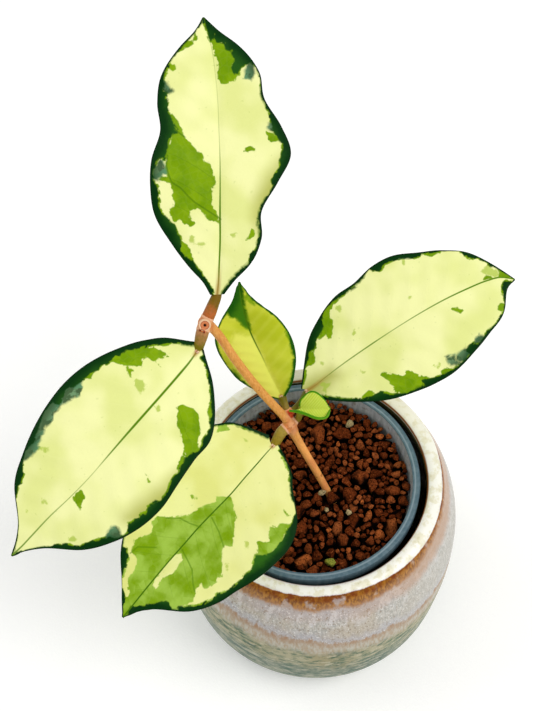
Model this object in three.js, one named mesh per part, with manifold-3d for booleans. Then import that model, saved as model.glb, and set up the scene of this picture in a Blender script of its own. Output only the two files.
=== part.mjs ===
// Potted variegated hoya: a cutting with six leaves in a plastic growing pot,
// which stands in a round glazed cover pot. Millimetres, +Z up, origin at the
// centre of the cover pot's flat foot.
import * as THREE from 'three';
import { mergeVertices } from 'three/addons/utils/BufferGeometryUtils.js';
import Module from 'manifold-3d';

const wasm = await Module();
wasm.setup();

const clearance = 0.3;

const potHeight = 104;
const potFloor = 8;

// Radius and height of points on the wall: up the outside, over the lip, down the inside
const coverPot = {
  outside: [
    [46, 0], [54.5, 5.5], [59.9, 17], [61.9, 38], [62.5, 56], [61.3, 76], [58.3, 89],
    [54.5, 98.5], [53.2, 102],
  ],
  lip: [[51.7, potHeight - 0.7], [49.3, potHeight], [47.1, potHeight - 0.9], [46.6, potHeight - 3]],
  inside: [[47.2, 96], [53.6, 84], [56, 56], [53.5, 26], [44, 11.5], [40, potFloor]],
  steps: { outside: 13, lip: 3, inside: 7 },
  sides: 40,
};

const growingPot = {
  centre: [-1.2, 0.2],
  rimRadius: 45,
  skirtHeight: 96.8,
  // The rolled rim's section: inwards from its radius and up from its skirt
  rim: [[0.7, 0], [0, 1], [0, 4.8], [0.8, 5.8], [1.7, 6], [2.8, 5.5], [3.2, 4.4]],
  neck: 0.4,
  wall: 1.2,
  bodyTopRadius: 43.1,
  footRadius: 33,
  recessRadius: 27,
  recessSlope: 1.5,
  recess: 2.5,
  slots: 6,
  slot: { length: 9, width: 4, height: 10, radius: 26 },
  sides: 40,
};

const grit = {
  top: 94.2,
  crown: 0.8,
  grains: 110,
  smallest: 6,
  largest: 9,
  bedDepth: 2,
  // Ranges, as shares of a grain's size: how proud it lies, its width and its height
  proud: [0, 0.24],
  width: [0.75, 1],
  height: [0.6, 0.85],
  tilt: 0.5,
  seed: 8423,
  sides: 30,
};

// The stem's centreline from its blunt root end to the upper node: x, y, z, radius
const stemLine = [
  [14.4, -11.4, 72, 1.4],
  [8.4, -5.6, 86, 1.6],
  [5.0, -2.4, 94.5, 1.6],
  [1.1, 0.8, 105, 1.65],
  [-3.4, 4.8, 115.5, 1.7],
  [-7.3, 8.6, 124.5, 1.9],
  [-9.1, 11.0, 129, 2.5],
  [-10.7, 12.2, 132.6, 1.9],
  [-14.5, 13.9, 139, 1.75],
  [-21.9, 17.0, 152.2, 1.75],
  [-28.7, 20.4, 166.5, 1.75],
  [-33.2, 22.1, 179.2, 1.75],
  [-35.9, 22.6, 185.2, 1.9],
  [-37.9, 22.6, 188, 2.5],
];

// Knuckles of the stem. The collar is how much wider the stem is than the petiole seated on it.
const lowerNode = { centre: [-9.1, 11.0, 129], radius: 2.9, collar: 0.35 };
const upperNode = { centre: [-37.9, 22.6, 188], radius: 2.6, collar: 0.25 };
const sideShoot = { centre: [-9.5, 14.4, 132.2], radius: 1.9, collar: 0.2 };
const cutStub = {
  toward: [0.03, -0.72, 0.69], reach: 4.1, radius: 2.2, flare: 1.15, pith: 0.5, pithDepth: 1.6,
};
const budScar = { centre: [-38.6, 19.3, 189], radius: 0.7 };
const shootRadii = [2, 1.8];

// Where a leaf's half-widths and its rib's offset are given, as shares of the blade's length
const stations = [0, 0.05, 0.1, 0.2, 0.3, 0.4, 0.5, 0.6, 0.7, 0.8, 0.9, 0.95, 1];

// Each leaf has the knuckle that its petiole leaves, the petiole's direction there, its seat's
// distance from the knuckle's centre, the point where the blade begins, the blade's
// heading, climb and roll in degrees, its length, the half-widths on its two sides, the rib's
// sideways offset, its arch, the rise of each half from the rib, how far each half curls in
// (radians), the margin's ripple (size, waves, start, shift of the left side) and the basal lobes
// (depth on the left and right, and how fast they fade). A petiole's radii are those at its
// root, its middle and the blade.
const leaves = [
  {
    name: 'leaf_top', color: '#e3e79c', node: upperNode, toward: [0.5, 0.65, 0.57], seat: 2.6,
    petiole: [2.3, 2.1, 1.75], sag: 0.2,
    base: [-32.9, 31.1, 193], heading: 88.4, climb: 40, roll: 5, length: 96,
    left: [2.5, 5, 9, 15.5, 20.5, 21.5, 20.5, 17, 17.5, 15.5, 8.5, 3.5, 0.5],
    right: [2.5, 6.5, 11.5, 16.5, 17, 23, 28, 25, 19.5, 18, 11, 5, 0.5],
    rib: [0, -0.7, -1.1, -1.9, -2.3, -2.8, -3.2, -3.3, -3.4, -3, -2, -1, 0],
    arch: 4, rise: [0.1, 0.1], curl: [0, 0], ripple: [1.2, 1.6, 0.1, 0.3], lobe: [0, 0, 12], thickness: 1.3,
  },
  {
    name: 'leaf_left', color: '#e6ea9f', node: upperNode, toward: [-0.32, -0.84, -0.45], seat: 3.2,
    petiole: [2.4, 2, 1.5], sag: 0,
    base: [-41.5, 13.7, 183], heading: -138.2, climb: -17, roll: -12, length: 96,
    left: [1, 11, 17.5, 25.5, 26.5, 28, 29.5, 28.5, 25, 18.5, 7, 3, 0.5],
    right: [3, 11.5, 16, 21.5, 25, 26.5, 26, 24, 20.5, 15.5, 5, 2, 0.5],
    rib: [0, 0.8, 1.2, 1.8, 2.2, 2.5, 2.8, 3, 2.5, 1.5, 1, 0.7, 0],
    arch: 5, rise: [0.1, 0.1], curl: [0, 0], ripple: [0.8, 1.3, 0, 0.4], lobe: [2.4, 2.4, 12], thickness: 1.3,
  },
  {
    name: 'leaf_lower', color: '#c9d77a', node: lowerNode, toward: [-0.81, -0.56, -0.19], seat: 3.2,
    petiole: [2.3, 2.1, 1.8], sag: 0,
    base: [-16.5, 3.6, 126], heading: -134.4, climb: -8, roll: -12, length: 87.4,
    left: [1, 12, 17, 27, 31, 31, 29.5, 26.5, 23.5, 17.5, 6, 2.5, 0.5],
    right: [4, 17, 22, 26, 28, 28, 27, 25, 22, 17, 8.5, 4.5, 0.5],
    rib: [0, 0, 0.1, 0.2, 0.4, 0, -0.4, -0.4, -0.5, -0.4, -0.2, -0.1, 0],
    arch: 4, rise: [0.1, 0.1], curl: [0, 0], ripple: [1, 1.8, 0.2, 0.3], lobe: [2.4, 2.4, 12], thickness: 1.3,
  },
  {
    name: 'leaf_right', color: '#e4e99f', node: sideShoot, toward: [0.82, 0.47, 0.33], seat: 2.5,
    petiole: [1.3, 1.4, 1.5], sag: 1.1,
    base: [-1.6, 20.3, 139], heading: 17.3, climb: 20, roll: 17, length: 91.4,
    left: [2, 9.5, 16, 23, 27, 28, 30.5, 30.5, 27, 23, 16, 9, 0.5],
    right: [1.5, 6, 9.5, 15, 19, 21, 22, 21.5, 18.5, 14.5, 9, 2.5, 0.5],
    rib: [0, 0.4, 1.1, 2.3, 3.2, 4, 4.7, 5.2, 5.4, 5.1, 4.3, 3.2, 0],
    arch: 4, rise: [0.1, 0.1], curl: [0, 0], ripple: [0.8, 1.3, 0.3, 0.5], lobe: [1.8, 1, 12], thickness: 1.3,
  },
  {
    name: 'leaf_middle', color: '#bfcf45', node: sideShoot, toward: [-0.3, 0.6, 0.74], seat: 2.5,
    petiole: [1.5, 1.9, 2], sag: 0,
    base: [-12, 19.4, 138], heading: 121, climb: 62, roll: -20, length: 54.1,
    left: [1.5, 4.5, 6.5, 10.5, 13.5, 15, 16, 16.5, 15.5, 11, 4.5, 2.5, 0.5],
    right: [1.5, 4, 6, 8.5, 10.5, 11.5, 11.5, 10.5, 8.5, 5, 2, 1.2, 0.5],
    rib: [0, 0.2, 0.4, 0.9, 1.2, 1.5, 2, 2.4, 2.4, 2, 1.2, 0.7, 0],
    arch: 2, rise: [0.3, 0.3], curl: [0, 0], ripple: [0.5, 1.5, 0, 0.3], lobe: [1, 1, 12], thickness: 1.2,
  },
  {
    name: 'leaf_young', color: '#a9c92f', node: lowerNode, toward: [0.81, 0.51, 0.3], seat: 3.2,
    petiole: [1.4, 1.2, 0.8], sag: 0,
    base: [-4.5, 13.95, 137.2], heading: -10, climb: 6, roll: 42, length: 11.6,
    left: [0.8, 3.6, 4.6, 6, 7, 7.4, 7.3, 6.8, 5.9, 4.5, 2.7, 1.4, 0.5],
    right: [1.5, 1.7, 2, 2.6, 3.2, 3.9, 4.6, 5.1, 5.2, 5, 4.1, 2.2, 0.5],
    rib: [0, 0, 0, 0, 0, 0, 0, 0, 0, 0, 0, 0, 0],
    arch: 1, rise: [0.2, 0], curl: [0.3, 1.9], ripple: [0, 1, 0, 0], lobe: [0.8, 4.5, 6], thickness: 1,
  },
];

const blade = {
  rowLength: 5.2,
  fewestRows: 11,
  endCrowding: 0.35,
  shares: [0, 0.3, 0.6, 0.85, 1],
  edgeThickness: 0.8,
  riseEasing: 0.55,
  rippleWidth: 12,
  // The rib's depth at the base, as a share of the length, and the petiole's taper into it
  keel: 0.0095,
  tail: 6,
  tailRadius: 0.5,
  tailDepth: 0.2,
};

const petioleSeatLength = 0.8;
const facets = { stem: 10, petiole: 10, collar: 12, stub: 14, pith: 8, hole: 12 };

const axisZ = new THREE.Vector3(0, 0, 1);
const randomFactor = 16807;
const randomRange = 2147483647;

function vector(point) {
  return new THREE.Vector3(point[0], point[1], point[2]);
}

function pseudoRandom(seed) {
  let state = seed;
  return () => {
    state = (state * randomFactor) % randomRange;
    return state / randomRange;
  };
}

function geometryOf(points, triangles) {
  const geometry = new THREE.BufferGeometry();
  const places = points.flatMap((p) => [p.x, p.y, p.z]);
  geometry.setAttribute('position', new THREE.Float32BufferAttribute(places, 3));
  geometry.setIndex(triangles.flat());
  return geometry;
}

function solidOf(geometry) {
  const bare = geometry.clone();
  bare.deleteAttribute('normal');
  bare.deleteAttribute('uv');
  const merged = mergeVertices(bare, 1e-5);
  const index = merged.getIndex().array;
  const corners = [];
  for (let i = 0; i < index.length; i += 3) {
    const [a, b, c] = [index[i], index[i + 1], index[i + 2]];
    if (a !== b && b !== c && c !== a) corners.push(a, b, c);
  }
  return new wasm.Manifold(new wasm.Mesh({
    numProp: 3,
    vertProperties: new Float32Array(merged.getAttribute('position').array),
    triVerts: new Uint32Array(corners),
  }));
}

function geometryFrom(solid) {
  const mesh = solid.getMesh();
  const geometry = new THREE.BufferGeometry();
  geometry.setAttribute('position', new THREE.BufferAttribute(new Float32Array(mesh.vertProperties), 3));
  geometry.setIndex(new THREE.BufferAttribute(new Uint32Array(mesh.triVerts), 1));
  return geometry;
}

function largest(solid) {
  return solid.decompose().reduce((best, next) => (next.volume() > best.volume() ? next : best));
}

// A smooth value between the stations of a list
function along(values, share) {
  const last = stations.length - 1;
  const slope = (i) => {
    const gap = (k) => stations[k + 1] - stations[k];
    const rate = (k) => (values[k + 1] - values[k]) / gap(k);
    if (i === 0) return rate(0);
    if (i === last) return rate(last - 1);
    return (rate(i - 1) * gap(i) + rate(i) * gap(i - 1)) / (gap(i - 1) + gap(i));
  };
  let i = 0;
  while (i < last - 1 && share >= stations[i + 1]) i += 1;
  const width = stations[i + 1] - stations[i];
  const f = (share - stations[i]) / width;
  const g = 1 - f;
  return (1 + 2 * f) * g * g * values[i] + f * g * g * width * slope(i)
    + f * f * (3 - 2 * f) * values[i + 1] - f * f * g * width * slope(i + 1);
}

// A profile of radius and height turned about the Z axis
function turned(profile, sides) {
  return new THREE.LatheGeometry(profile, sides).rotateX(Math.PI / 2);
}

// Rings of equal count, one after another, closed at both ends
function loft(rings) {
  const points = rings.flat();
  const n = rings[0].length;
  const triangles = [];
  for (let k = 0; k < rings.length - 1; k += 1) {
    for (let i = 0; i < n; i += 1) {
      const a = k * n + i;
      const b = k * n + ((i + 1) % n);
      triangles.push([a, b, b + n], [a, b + n, a + n]);
    }
  }
  const end = (rings.length - 1) * n;
  for (let i = 1; i < n - 1; i += 1) {
    triangles.push([0, i + 1, i], [end, end + i, end + i + 1]);
  }
  return geometryOf(points, triangles);
}

function ring(centre, tangent, radius, sides) {
  const side = new THREE.Vector3().crossVectors(axisZ, tangent).normalize();
  const up = new THREE.Vector3().crossVectors(tangent, side).normalize();
  return Array.from({ length: sides }, (_, i) => {
    const angle = (2 * Math.PI * i) / sides;
    return centre.clone()
      .addScaledVector(side, radius * Math.cos(angle))
      .addScaledVector(up, radius * Math.sin(angle));
  });
}

// A round stalk through x, y, z, radius points, with a few rings between each two
function stalk(line, sides, ringsBetween) {
  const curve = new THREE.CatmullRomCurve3(line.map(vector), false, 'centripetal');
  const count = (line.length - 1) * ringsBetween;
  const rings = [];
  for (let k = 0; k <= count; k += 1) {
    const t = k / count;
    const place = Math.min(Math.floor(k / ringsBetween), line.length - 2);
    const share = k / ringsBetween - place;
    const radius = THREE.MathUtils.lerp(line[place][3], line[place + 1][3], share);
    rings.push(ring(curve.getPoint(t), curve.getTangent(t), radius, sides));
  }
  return loft(rings);
}

function rod(from, direction, length, startRadius, endRadius, sides) {
  const to = from.clone().addScaledVector(direction, length);
  return loft([ring(from, direction, startRadius, sides), ring(to, direction, endRadius, sides)]);
}

function ball(centre, radius) {
  const geometry = new THREE.SphereGeometry(radius, 10, 6);
  geometry.translate(centre[0], centre[1], centre[2]);
  return geometry;
}

function coverPotSolid() {
  const spline = (points, count) => new THREE.SplineCurve(points.map(([r, z]) => new THREE.Vector2(r, z)))
    .getPoints(count);
  const wall = ['outside', 'lip', 'inside'].flatMap((part) => spline(coverPot[part], coverPot.steps[part]));
  const onAxis = (z) => new THREE.Vector2(0, z);
  return turned([onAxis(0), ...wall, onAxis(potFloor)], coverPot.sides);
}

// The growing pot's inner wall radius at a height
function growingPotInside(z) {
  const p = growingPot;
  const share = (z - potFloor) / (p.skirtHeight - potFloor);
  return THREE.MathUtils.lerp(p.footRadius, p.bodyTopRadius, share) - p.wall;
}

function growingPotSolid() {
  const p = growingPot;
  const floorTop = potFloor + p.recess + p.wall;
  const profile = [
    [0, potFloor + p.recess],
    [p.recessRadius - p.recessSlope, potFloor + p.recess],
    [p.recessRadius, potFloor],
    [p.footRadius, potFloor],
    [p.bodyTopRadius, p.skirtHeight + p.neck],
    ...p.rim.map(([inwards, up]) => [p.rimRadius - inwards, p.skirtHeight + up]),
    [growingPotInside(p.skirtHeight) - 0.05, p.skirtHeight - 1],
    [growingPotInside(floorTop), floorTop],
    [0, floorTop],
  ].map(([r, z]) => new THREE.Vector2(r, z));
  let pot = solidOf(turned(profile, p.sides));
  for (let i = 0; i < p.slots; i += 1) {
    const slot = new THREE.BoxGeometry(p.slot.length, p.slot.width, p.slot.height);
    slot.translate(p.slot.radius + p.slot.length / 2, 0, potFloor);
    slot.rotateZ((2 * Math.PI * (i + 0.5)) / p.slots);
    pot = pot.subtract(solidOf(slot));
  }
  const geometry = geometryFrom(pot);
  geometry.translate(p.centre[0], p.centre[1], 0);
  return geometry;
}

// Baked-clay grit: a plug that fills the growing pot, with loose grains over its top
function gritSolid() {
  const random = pseudoRandom(grit.seed);
  const between = ([low, high]) => low + (high - low) * random();
  const [cx, cy] = growingPot.centre;
  const bottom = potFloor + growingPot.recess + growingPot.wall + clearance;
  const bed = grit.top - grit.bedDepth;
  const radiusAt = (z) => growingPotInside(z) - clearance - 0.1;
  const plug = turned([
    new THREE.Vector2(0, bottom),
    new THREE.Vector2(radiusAt(bottom), bottom),
    new THREE.Vector2(radiusAt(bed) - 0.2, bed),
    new THREE.Vector2(0, bed + grit.crown),
  ], grit.sides);
  let body = solidOf(plug);
  const field = radiusAt(bed - 1);
  for (let i = 0; i < grit.grains; i += 1) {
    const size = between([grit.smallest, grit.largest]);
    const out = Math.sqrt((i + 0.5) / grit.grains) * (field - size / 2 - 0.1);
    const angle = i * Math.PI * (3 - Math.sqrt(5));
    const grain = new THREE.IcosahedronGeometry(size / 2, 0);
    grain.scale(1, between(grit.width), between(grit.height));
    grain.rotateX(between([-grit.tilt, grit.tilt]));
    grain.rotateZ(between([0, 2 * Math.PI]));
    const crown = grit.crown * (1 - (out / field) ** 2);
    const height = bed + crown + size * between(grit.proud);
    grain.translate(out * Math.cos(angle), out * Math.sin(angle), height);
    body = body.add(solidOf(grain));
  }
  body = body.translate([cx, cy, 0]);
  const hole = stemLine.slice(0, 4).map(([x, y, z, r]) => [x, y, z, r + clearance + 0.05]);
  const deeper = vector(hole[0]).sub(vector(hole[1])).normalize().multiplyScalar(clearance);
  hole[0] = [...vector(hole[0]).add(deeper).toArray(), hole[0][3]];
  return geometryFrom(largest(body.subtract(solidOf(stalk(hole, facets.hole, 3)))));
}

function stemSolid() {
  let stem = solidOf(stalk(stemLine, facets.stem, 2));
  const grow = (geometry) => {
    stem = stem.add(solidOf(geometry));
  };
  [lowerNode, upperNode, sideShoot].forEach((node) => grow(ball(node.centre, node.radius)));
  const fromNode = vector(lowerNode.centre);
  const toShoot = vector(sideShoot.centre).sub(fromNode);
  grow(rod(fromNode, toShoot.clone().normalize(), toShoot.length(), ...shootRadii, facets.collar));
  leaves.forEach(({ node, toward, seat, petiole }) => {
    const direction = vector(toward).normalize();
    grow(rod(vector(node.centre), direction, seat, petiole[0], petiole[0] + node.collar, facets.collar));
  });
  const out = vector(cutStub.toward).normalize();
  const centre = vector(upperNode.centre);
  grow(rod(centre, out, cutStub.reach, cutStub.radius * cutStub.flare, cutStub.radius, facets.stub));
  grow(ball(budScar.centre, budScar.radius));
  const pithFloor = centre.clone().addScaledVector(out, cutStub.reach - cutStub.pithDepth);
  const pith = rod(pithFloor, out, cutStub.pithDepth + 1, cutStub.pith, cutStub.pith, facets.pith);
  return geometryFrom(stem.subtract(solidOf(pith)));
}

function leafAxes(leaf) {
  const [heading, climb, roll] = [leaf.heading, leaf.climb, leaf.roll].map(THREE.MathUtils.degToRad);
  const forward = new THREE.Vector3(
    Math.cos(climb) * Math.cos(heading),
    Math.cos(climb) * Math.sin(heading),
    Math.sin(climb),
  );
  const level = new THREE.Vector3(-Math.sin(heading), Math.cos(heading), 0);
  const raised = new THREE.Vector3().crossVectors(forward, level);
  const left = level.multiplyScalar(Math.cos(roll)).addScaledVector(raised, Math.sin(roll));
  const up = new THREE.Vector3().crossVectors(forward, left);
  return { forward, left, up };
}

// A point of the blade: share along its length, across from -1 at the right margin to 1 at the
// left one, and height above the upper face
function bladePoint(leaf, axes, share, across, lift) {
  const side = across > 0 ? 0 : 1;
  const rib = along(leaf.rib, share);
  const halfWidth = side === 0 ? along(leaf.left, share) - rib : along(leaf.right, share) + rib;
  const a = Math.abs(across);
  const [size, waves, start, shift] = leaf.ripple;
  const wave = size * a * a * Math.sin(2 * Math.PI * (waves * share + start + (side === 0 ? shift : 0)));
  const curl = leaf.curl[side];
  const spread = curl > 0 ? Math.sin(curl * a) / curl : a;
  const rolledIn = curl > 0 ? (1 - Math.cos(curl * a)) / curl : 0;
  const height = leaf.arch * 4 * share * (1 - share)
    + halfWidth * (rolledIn + leaf.rise[side] * a * (1 - blade.riseEasing * a * a))
    + wave * Math.min(1, halfWidth / blade.rippleWidth);
  const forwards = share * leaf.length - leaf.lobe[side] * a * a * Math.exp(-leaf.lobe[2] * share);
  const lean = Math.sign(across) * curl * a;
  return vector(leaf.base)
    .addScaledVector(axes.forward, forwards)
    .addScaledVector(axes.left, rib + Math.sign(across) * halfWidth * spread - lift * Math.sin(lean))
    .addScaledVector(axes.up, height + lift * Math.cos(lean));
}

function bladeSolid(leaf, axes) {
  const across = [...blade.shares.slice(1).reverse().map((s) => -s), ...blade.shares];
  const columns = across.length;
  const rows = Math.max(blade.fewestRows, Math.round(leaf.length / blade.rowLength));
  const top = [];
  const under = [];
  for (let i = 0; i <= rows; i += 1) {
    const even = i / rows;
    const share = THREE.MathUtils.lerp(even, (1 - Math.cos(Math.PI * even)) / 2, blade.endCrowding);
    across.forEach((s) => {
      const thickness = THREE.MathUtils.lerp(leaf.thickness, blade.edgeThickness, s * s);
      const keel = s === 0 ? blade.keel * leaf.length * (1 - share) : 0;
      top.push(bladePoint(leaf, axes, share, s, 0));
      under.push(bladePoint(leaf, axes, share, s, -thickness - keel));
    });
  }
  const points = [...top, ...under];
  const below = top.length;
  const triangles = [];
  for (let i = 0; i < rows; i += 1) {
    for (let j = 0; j < columns - 1; j += 1) {
      const a = i * columns + j;
      const [b, c, d] = [a + 1, a + columns, a + columns + 1];
      triangles.push([a, c, d], [a, d, b]);
      triangles.push([below + a, below + d, below + c], [below + a, below + b, below + d]);
    }
  }
  const rim = [];
  for (let j = 0; j < columns - 1; j += 1) rim.push(j);
  for (let i = 0; i < rows; i += 1) rim.push(i * columns + columns - 1);
  for (let j = columns - 1; j > 0; j -= 1) rim.push(rows * columns + j);
  for (let i = rows; i > 0; i -= 1) rim.push(i * columns);
  rim.forEach((a, k) => {
    const b = rim[(k + 1) % rim.length];
    triangles.push([a, b, below + b], [a, below + b, below + a]);
  });
  return solidOf(geometryOf(points, triangles));
}

function petioleSolid(leaf, axes) {
  const direction = vector(leaf.toward).normalize();
  const seat = vector(leaf.node.centre).addScaledVector(direction, leaf.seat + clearance);
  const start = seat.clone().addScaledVector(direction, petioleSeatLength);
  const [rootRadius, midRadius, endRadius] = leaf.petiole;
  const end = vector(leaf.base).addScaledVector(axes.up, -endRadius);
  const middle = start.clone().lerp(end, 0.5).addScaledVector(axisZ, -leaf.sag);
  const tail = bladePoint(leaf, axes, blade.tail / leaf.length, 0, -leaf.thickness - blade.tailDepth);
  const line = [
    [seat, rootRadius],
    [start, rootRadius],
    [middle, midRadius],
    [end, endRadius],
    [tail, blade.tailRadius],
  ];
  return solidOf(stalk(line.map(([p, r]) => [p.x, p.y, p.z, r]), facets.petiole, 2));
}

function leafSolid(leaf) {
  const axes = leafAxes(leaf);
  return geometryFrom(bladeSolid(leaf, axes).add(petioleSolid(leaf, axes)));
}

function piece(name, geometry, color, roughness) {
  const material = new THREE.MeshStandardMaterial({ color, roughness, metalness: 0 });
  const mesh = new THREE.Mesh(geometry, material);
  mesh.name = name;
  return mesh;
}

const plant = new THREE.Group();
plant.add(piece('ceramic_pot', coverPotSolid(), '#cdc9c2', 0.3));
plant.add(piece('nursery_pot', growingPotSolid(), '#667a85', 0.45));
plant.add(piece('substrate', gritSolid(), '#5c2a16', 0.95));
plant.add(piece('main_stem', stemSolid(), '#c98b52', 0.65));
leaves.forEach((leaf) => plant.add(piece(leaf.name, leafSolid(leaf), leaf.color, 0.4)));

export default plant;
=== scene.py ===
import math
import random
from contextlib import contextmanager
import bpy
import numpy as np
from mathutils import Matrix, Vector, noise


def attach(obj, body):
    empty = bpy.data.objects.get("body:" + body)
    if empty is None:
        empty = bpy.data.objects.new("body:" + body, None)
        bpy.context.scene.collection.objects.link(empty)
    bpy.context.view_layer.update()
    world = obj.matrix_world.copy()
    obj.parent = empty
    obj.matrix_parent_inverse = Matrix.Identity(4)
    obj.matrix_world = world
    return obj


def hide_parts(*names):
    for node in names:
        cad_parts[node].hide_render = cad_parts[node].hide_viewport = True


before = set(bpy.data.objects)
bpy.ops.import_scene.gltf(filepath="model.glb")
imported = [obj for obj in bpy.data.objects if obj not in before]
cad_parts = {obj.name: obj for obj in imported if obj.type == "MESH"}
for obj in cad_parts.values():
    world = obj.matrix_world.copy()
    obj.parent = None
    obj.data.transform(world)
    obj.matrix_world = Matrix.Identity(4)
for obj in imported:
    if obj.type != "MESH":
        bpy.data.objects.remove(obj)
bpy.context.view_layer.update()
mm = 0.001


# small helpers

def unit(direction):
    return np.array(direction) / np.linalg.norm(direction)


def useOnly(*pieces):
    # selects these objects alone, the last one active
    bpy.ops.object.select_all(action="DESELECT")
    for piece in pieces:
        piece.select_set(True)
        bpy.context.view_layer.objects.active = piece


@contextmanager
def editing(piece, action="SELECT"):
    # edit mode on one piece, with all of its mesh or none of it selected
    useOnly(piece)
    bpy.ops.object.mode_set(mode="EDIT")
    bpy.ops.mesh.select_all(action=action)
    yield
    bpy.ops.object.mode_set(mode="OBJECT")


def addShape(kind, **values):
    # a primitive to start from, alone in the selection
    bpy.ops.object.select_all(action="DESELECT")
    getattr(bpy.ops.mesh, "primitive_" + kind + "_add")(**values)
    return bpy.context.object


def applyModifier(piece, kind, **values):
    useOnly(piece)
    modifier = piece.modifiers.new(kind.title(), kind)
    for key, value in values.items():
        setattr(modifier, key, value)
    bpy.ops.object.modifier_apply(modifier=modifier.name)


def joinAs(name, *parts):
    useOnly(*reversed(parts))
    bpy.ops.object.join()
    piece = bpy.context.object
    piece.name = piece.data.name = name
    return piece


def fixNormals(piece):
    with editing(piece):
        bpy.ops.mesh.remove_doubles(threshold=1e-6)
        bpy.ops.mesh.normals_make_consistent(inside=False)


def places(piece):
    # the vertices of a piece, in millimetres
    values = np.empty(len(piece.data.vertices) * 3)
    piece.data.vertices.foreach_get("co", values)
    return values.reshape(-1, 3) / mm


def keepValue(piece, name, values):
    # a number, or three, on each vertex for the materials to read; a single number is for all
    if np.ndim(values) == 0:
        values = np.full(len(piece.data.vertices), float(values))
    values = np.asarray(values, float)
    kind, field = ("FLOAT", "value") if values.ndim == 1 else ("FLOAT_VECTOR", "vector")
    piece.data.attributes.new(name, kind, "POINT").data.foreach_set(field, values.ravel())


def smoothLine(points, steps):
    # a rounded line through the points, which may carry a radius as a fourth number
    points = [np.array(point, float) for point in points]
    points = [2 * points[0] - points[1]] + points + [2 * points[-1] - points[-2]]
    line = []
    for before, start, end, after in zip(points, points[1:], points[2:], points[3:]):
        pairs = ((before, start), (start, end), (end, after))
        gaps = [max(np.linalg.norm(b - a), 1e-6) ** 0.5 for a, b in pairs]
        knots = np.concatenate([[0], np.cumsum(gaps)])
        for step in range(steps):
            at = knots[1] + (knots[2] - knots[1]) * step / steps
            low = [((knots[i + 1] - at) * a + (at - knots[i]) * b) / (knots[i + 1] - knots[i])
                   for i, (a, b) in enumerate(pairs)]
            mid = [((knots[i + 2] - at) * low[i] + (at - knots[i]) * low[i + 1])
                   / (knots[i + 2] - knots[i]) for i in range(2)]
            line.append(((knots[2] - at) * mid[0] + (at - knots[1]) * mid[1]) / (knots[2] - knots[1]))
    line.append(points[-2])
    return np.array(line)


def addTube(name, line, sides=16):
    # a round stalk along a line of (x, y, z, radius) in millimetres
    curve = bpy.data.curves.new(name, "CURVE")
    curve.dimensions = "3D"
    curve.bevel_depth = mm
    curve.bevel_resolution = sides // 4 - 1
    curve.use_fill_caps = True
    spline = curve.splines.new("POLY")
    spline.points.add(len(line) - 1)
    for point, (x, y, z, radius) in zip(spline.points, line):
        point.co = (x * mm, y * mm, z * mm, 1)
        point.radius = radius
    tube = bpy.data.objects.new(name, curve)
    bpy.context.collection.objects.link(tube)
    useOnly(tube)
    bpy.ops.object.convert(target="MESH")
    fixNormals(tube)
    return tube


def addRings(name, profile, sides, centre=(0, 0)):
    # a turned shape: one circle, extruded ring by ring up the (radius, height) profile, then closed
    radius, height = profile[0]
    piece = addShape("circle", vertices=sides, radius=radius * mm, fill_type="NOTHING",
                     location=(centre[0] * mm, centre[1] * mm, height * mm))
    piece.name = piece.data.name = name
    bpy.ops.object.transform_apply(location=True, rotation=True, scale=True)
    with editing(piece):
        for (oldRadius, oldHeight), (radius, height) in zip(profile, profile[1:]):
            bpy.ops.mesh.extrude_edges_move(
                TRANSFORM_OT_translate={"value": (0, 0, (height - oldHeight) * mm)})
            share = radius / oldRadius
            bpy.ops.transform.resize(value=(share, share, 1),
                                     center_override=(centre[0] * mm, centre[1] * mm, 0))
    with editing(piece, "DESELECT"):
        bpy.ops.mesh.select_non_manifold()
        bpy.ops.mesh.edge_face_add()
    fixNormals(piece)
    return piece


def standIn(piece, node, angle=None):
    # the finished piece takes the place of its solid and moves with it
    useOnly(piece)
    if angle is None:
        bpy.ops.object.shade_smooth()
    else:
        bpy.ops.object.shade_smooth_by_angle(angle=math.radians(angle))
    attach(piece, "root")
    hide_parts(node)
    print("made", piece.name, len(piece.data.polygons), "faces")


# node helpers, which all draw on the same sheet: the node tree of the group or material in hand

sheet = {"tree": None}


def tone(red, green, blue):
    # a screen colour, 0 to 255, as the shaders want it
    return tuple(((c / 255 + 0.055) / 1.055) ** 2.4 if c > 10 else c / 3295
                 for c in (red, green, blue)) + (1.0,)


class Wire:
    # what comes out of a node; it is added, multiplied and compared as a number is
    def __init__(self, socket):
        self.socket = socket

    def __add__(self, other):
        return work("ADD", self, other)

    def __sub__(self, other):
        return work("SUBTRACT", self, other)

    def __mul__(self, other):
        return work("MULTIPLY", self, other)

    def __truediv__(self, other):
        return work("DIVIDE", self, other)

    def __lt__(self, other):
        return work("LESS_THAN", self, other)

    def __abs__(self):
        return work("ABSOLUTE", self)


def plug(value, socket):
    # links a wire to a socket, or sets a plain value on it
    if isinstance(value, Wire):
        sheet["tree"].links.new(value.socket, socket)
    else:
        socket.default_value = value


def addNode(kind, inputs, output=0, **settings):
    node = sheet["tree"].nodes.new(kind)
    for key, value in settings.items():
        setattr(node, key, value)
    for key, value in inputs.items():
        plug(value, node.inputs[key])
    return Wire(node.outputs[output])


def work(operation, a, b=0.0):
    return addNode("ShaderNodeMath", {0: a, 1: b}, operation=operation)


def fade(value, low, high, end=1.0, start=0.0):
    # goes smoothly from start to end as the value goes from low to high
    return addNode("ShaderNodeMapRange", {"Value": value, "From Min": low, "From Max": high,
                                          "To Min": start, "To Max": end},
                   interpolation_type="SMOOTHSTEP")


def blendColor(share, a, b):
    return addNode("ShaderNodeMix", {0: share, 6: a, 7: b}, output=2, data_type="RGBA")


def coatOver(color, *coats):
    # lays colours over the first, each where its mask says
    for mask, coat in coats:
        color = blendColor(mask, color, coat)
    return color


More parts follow.
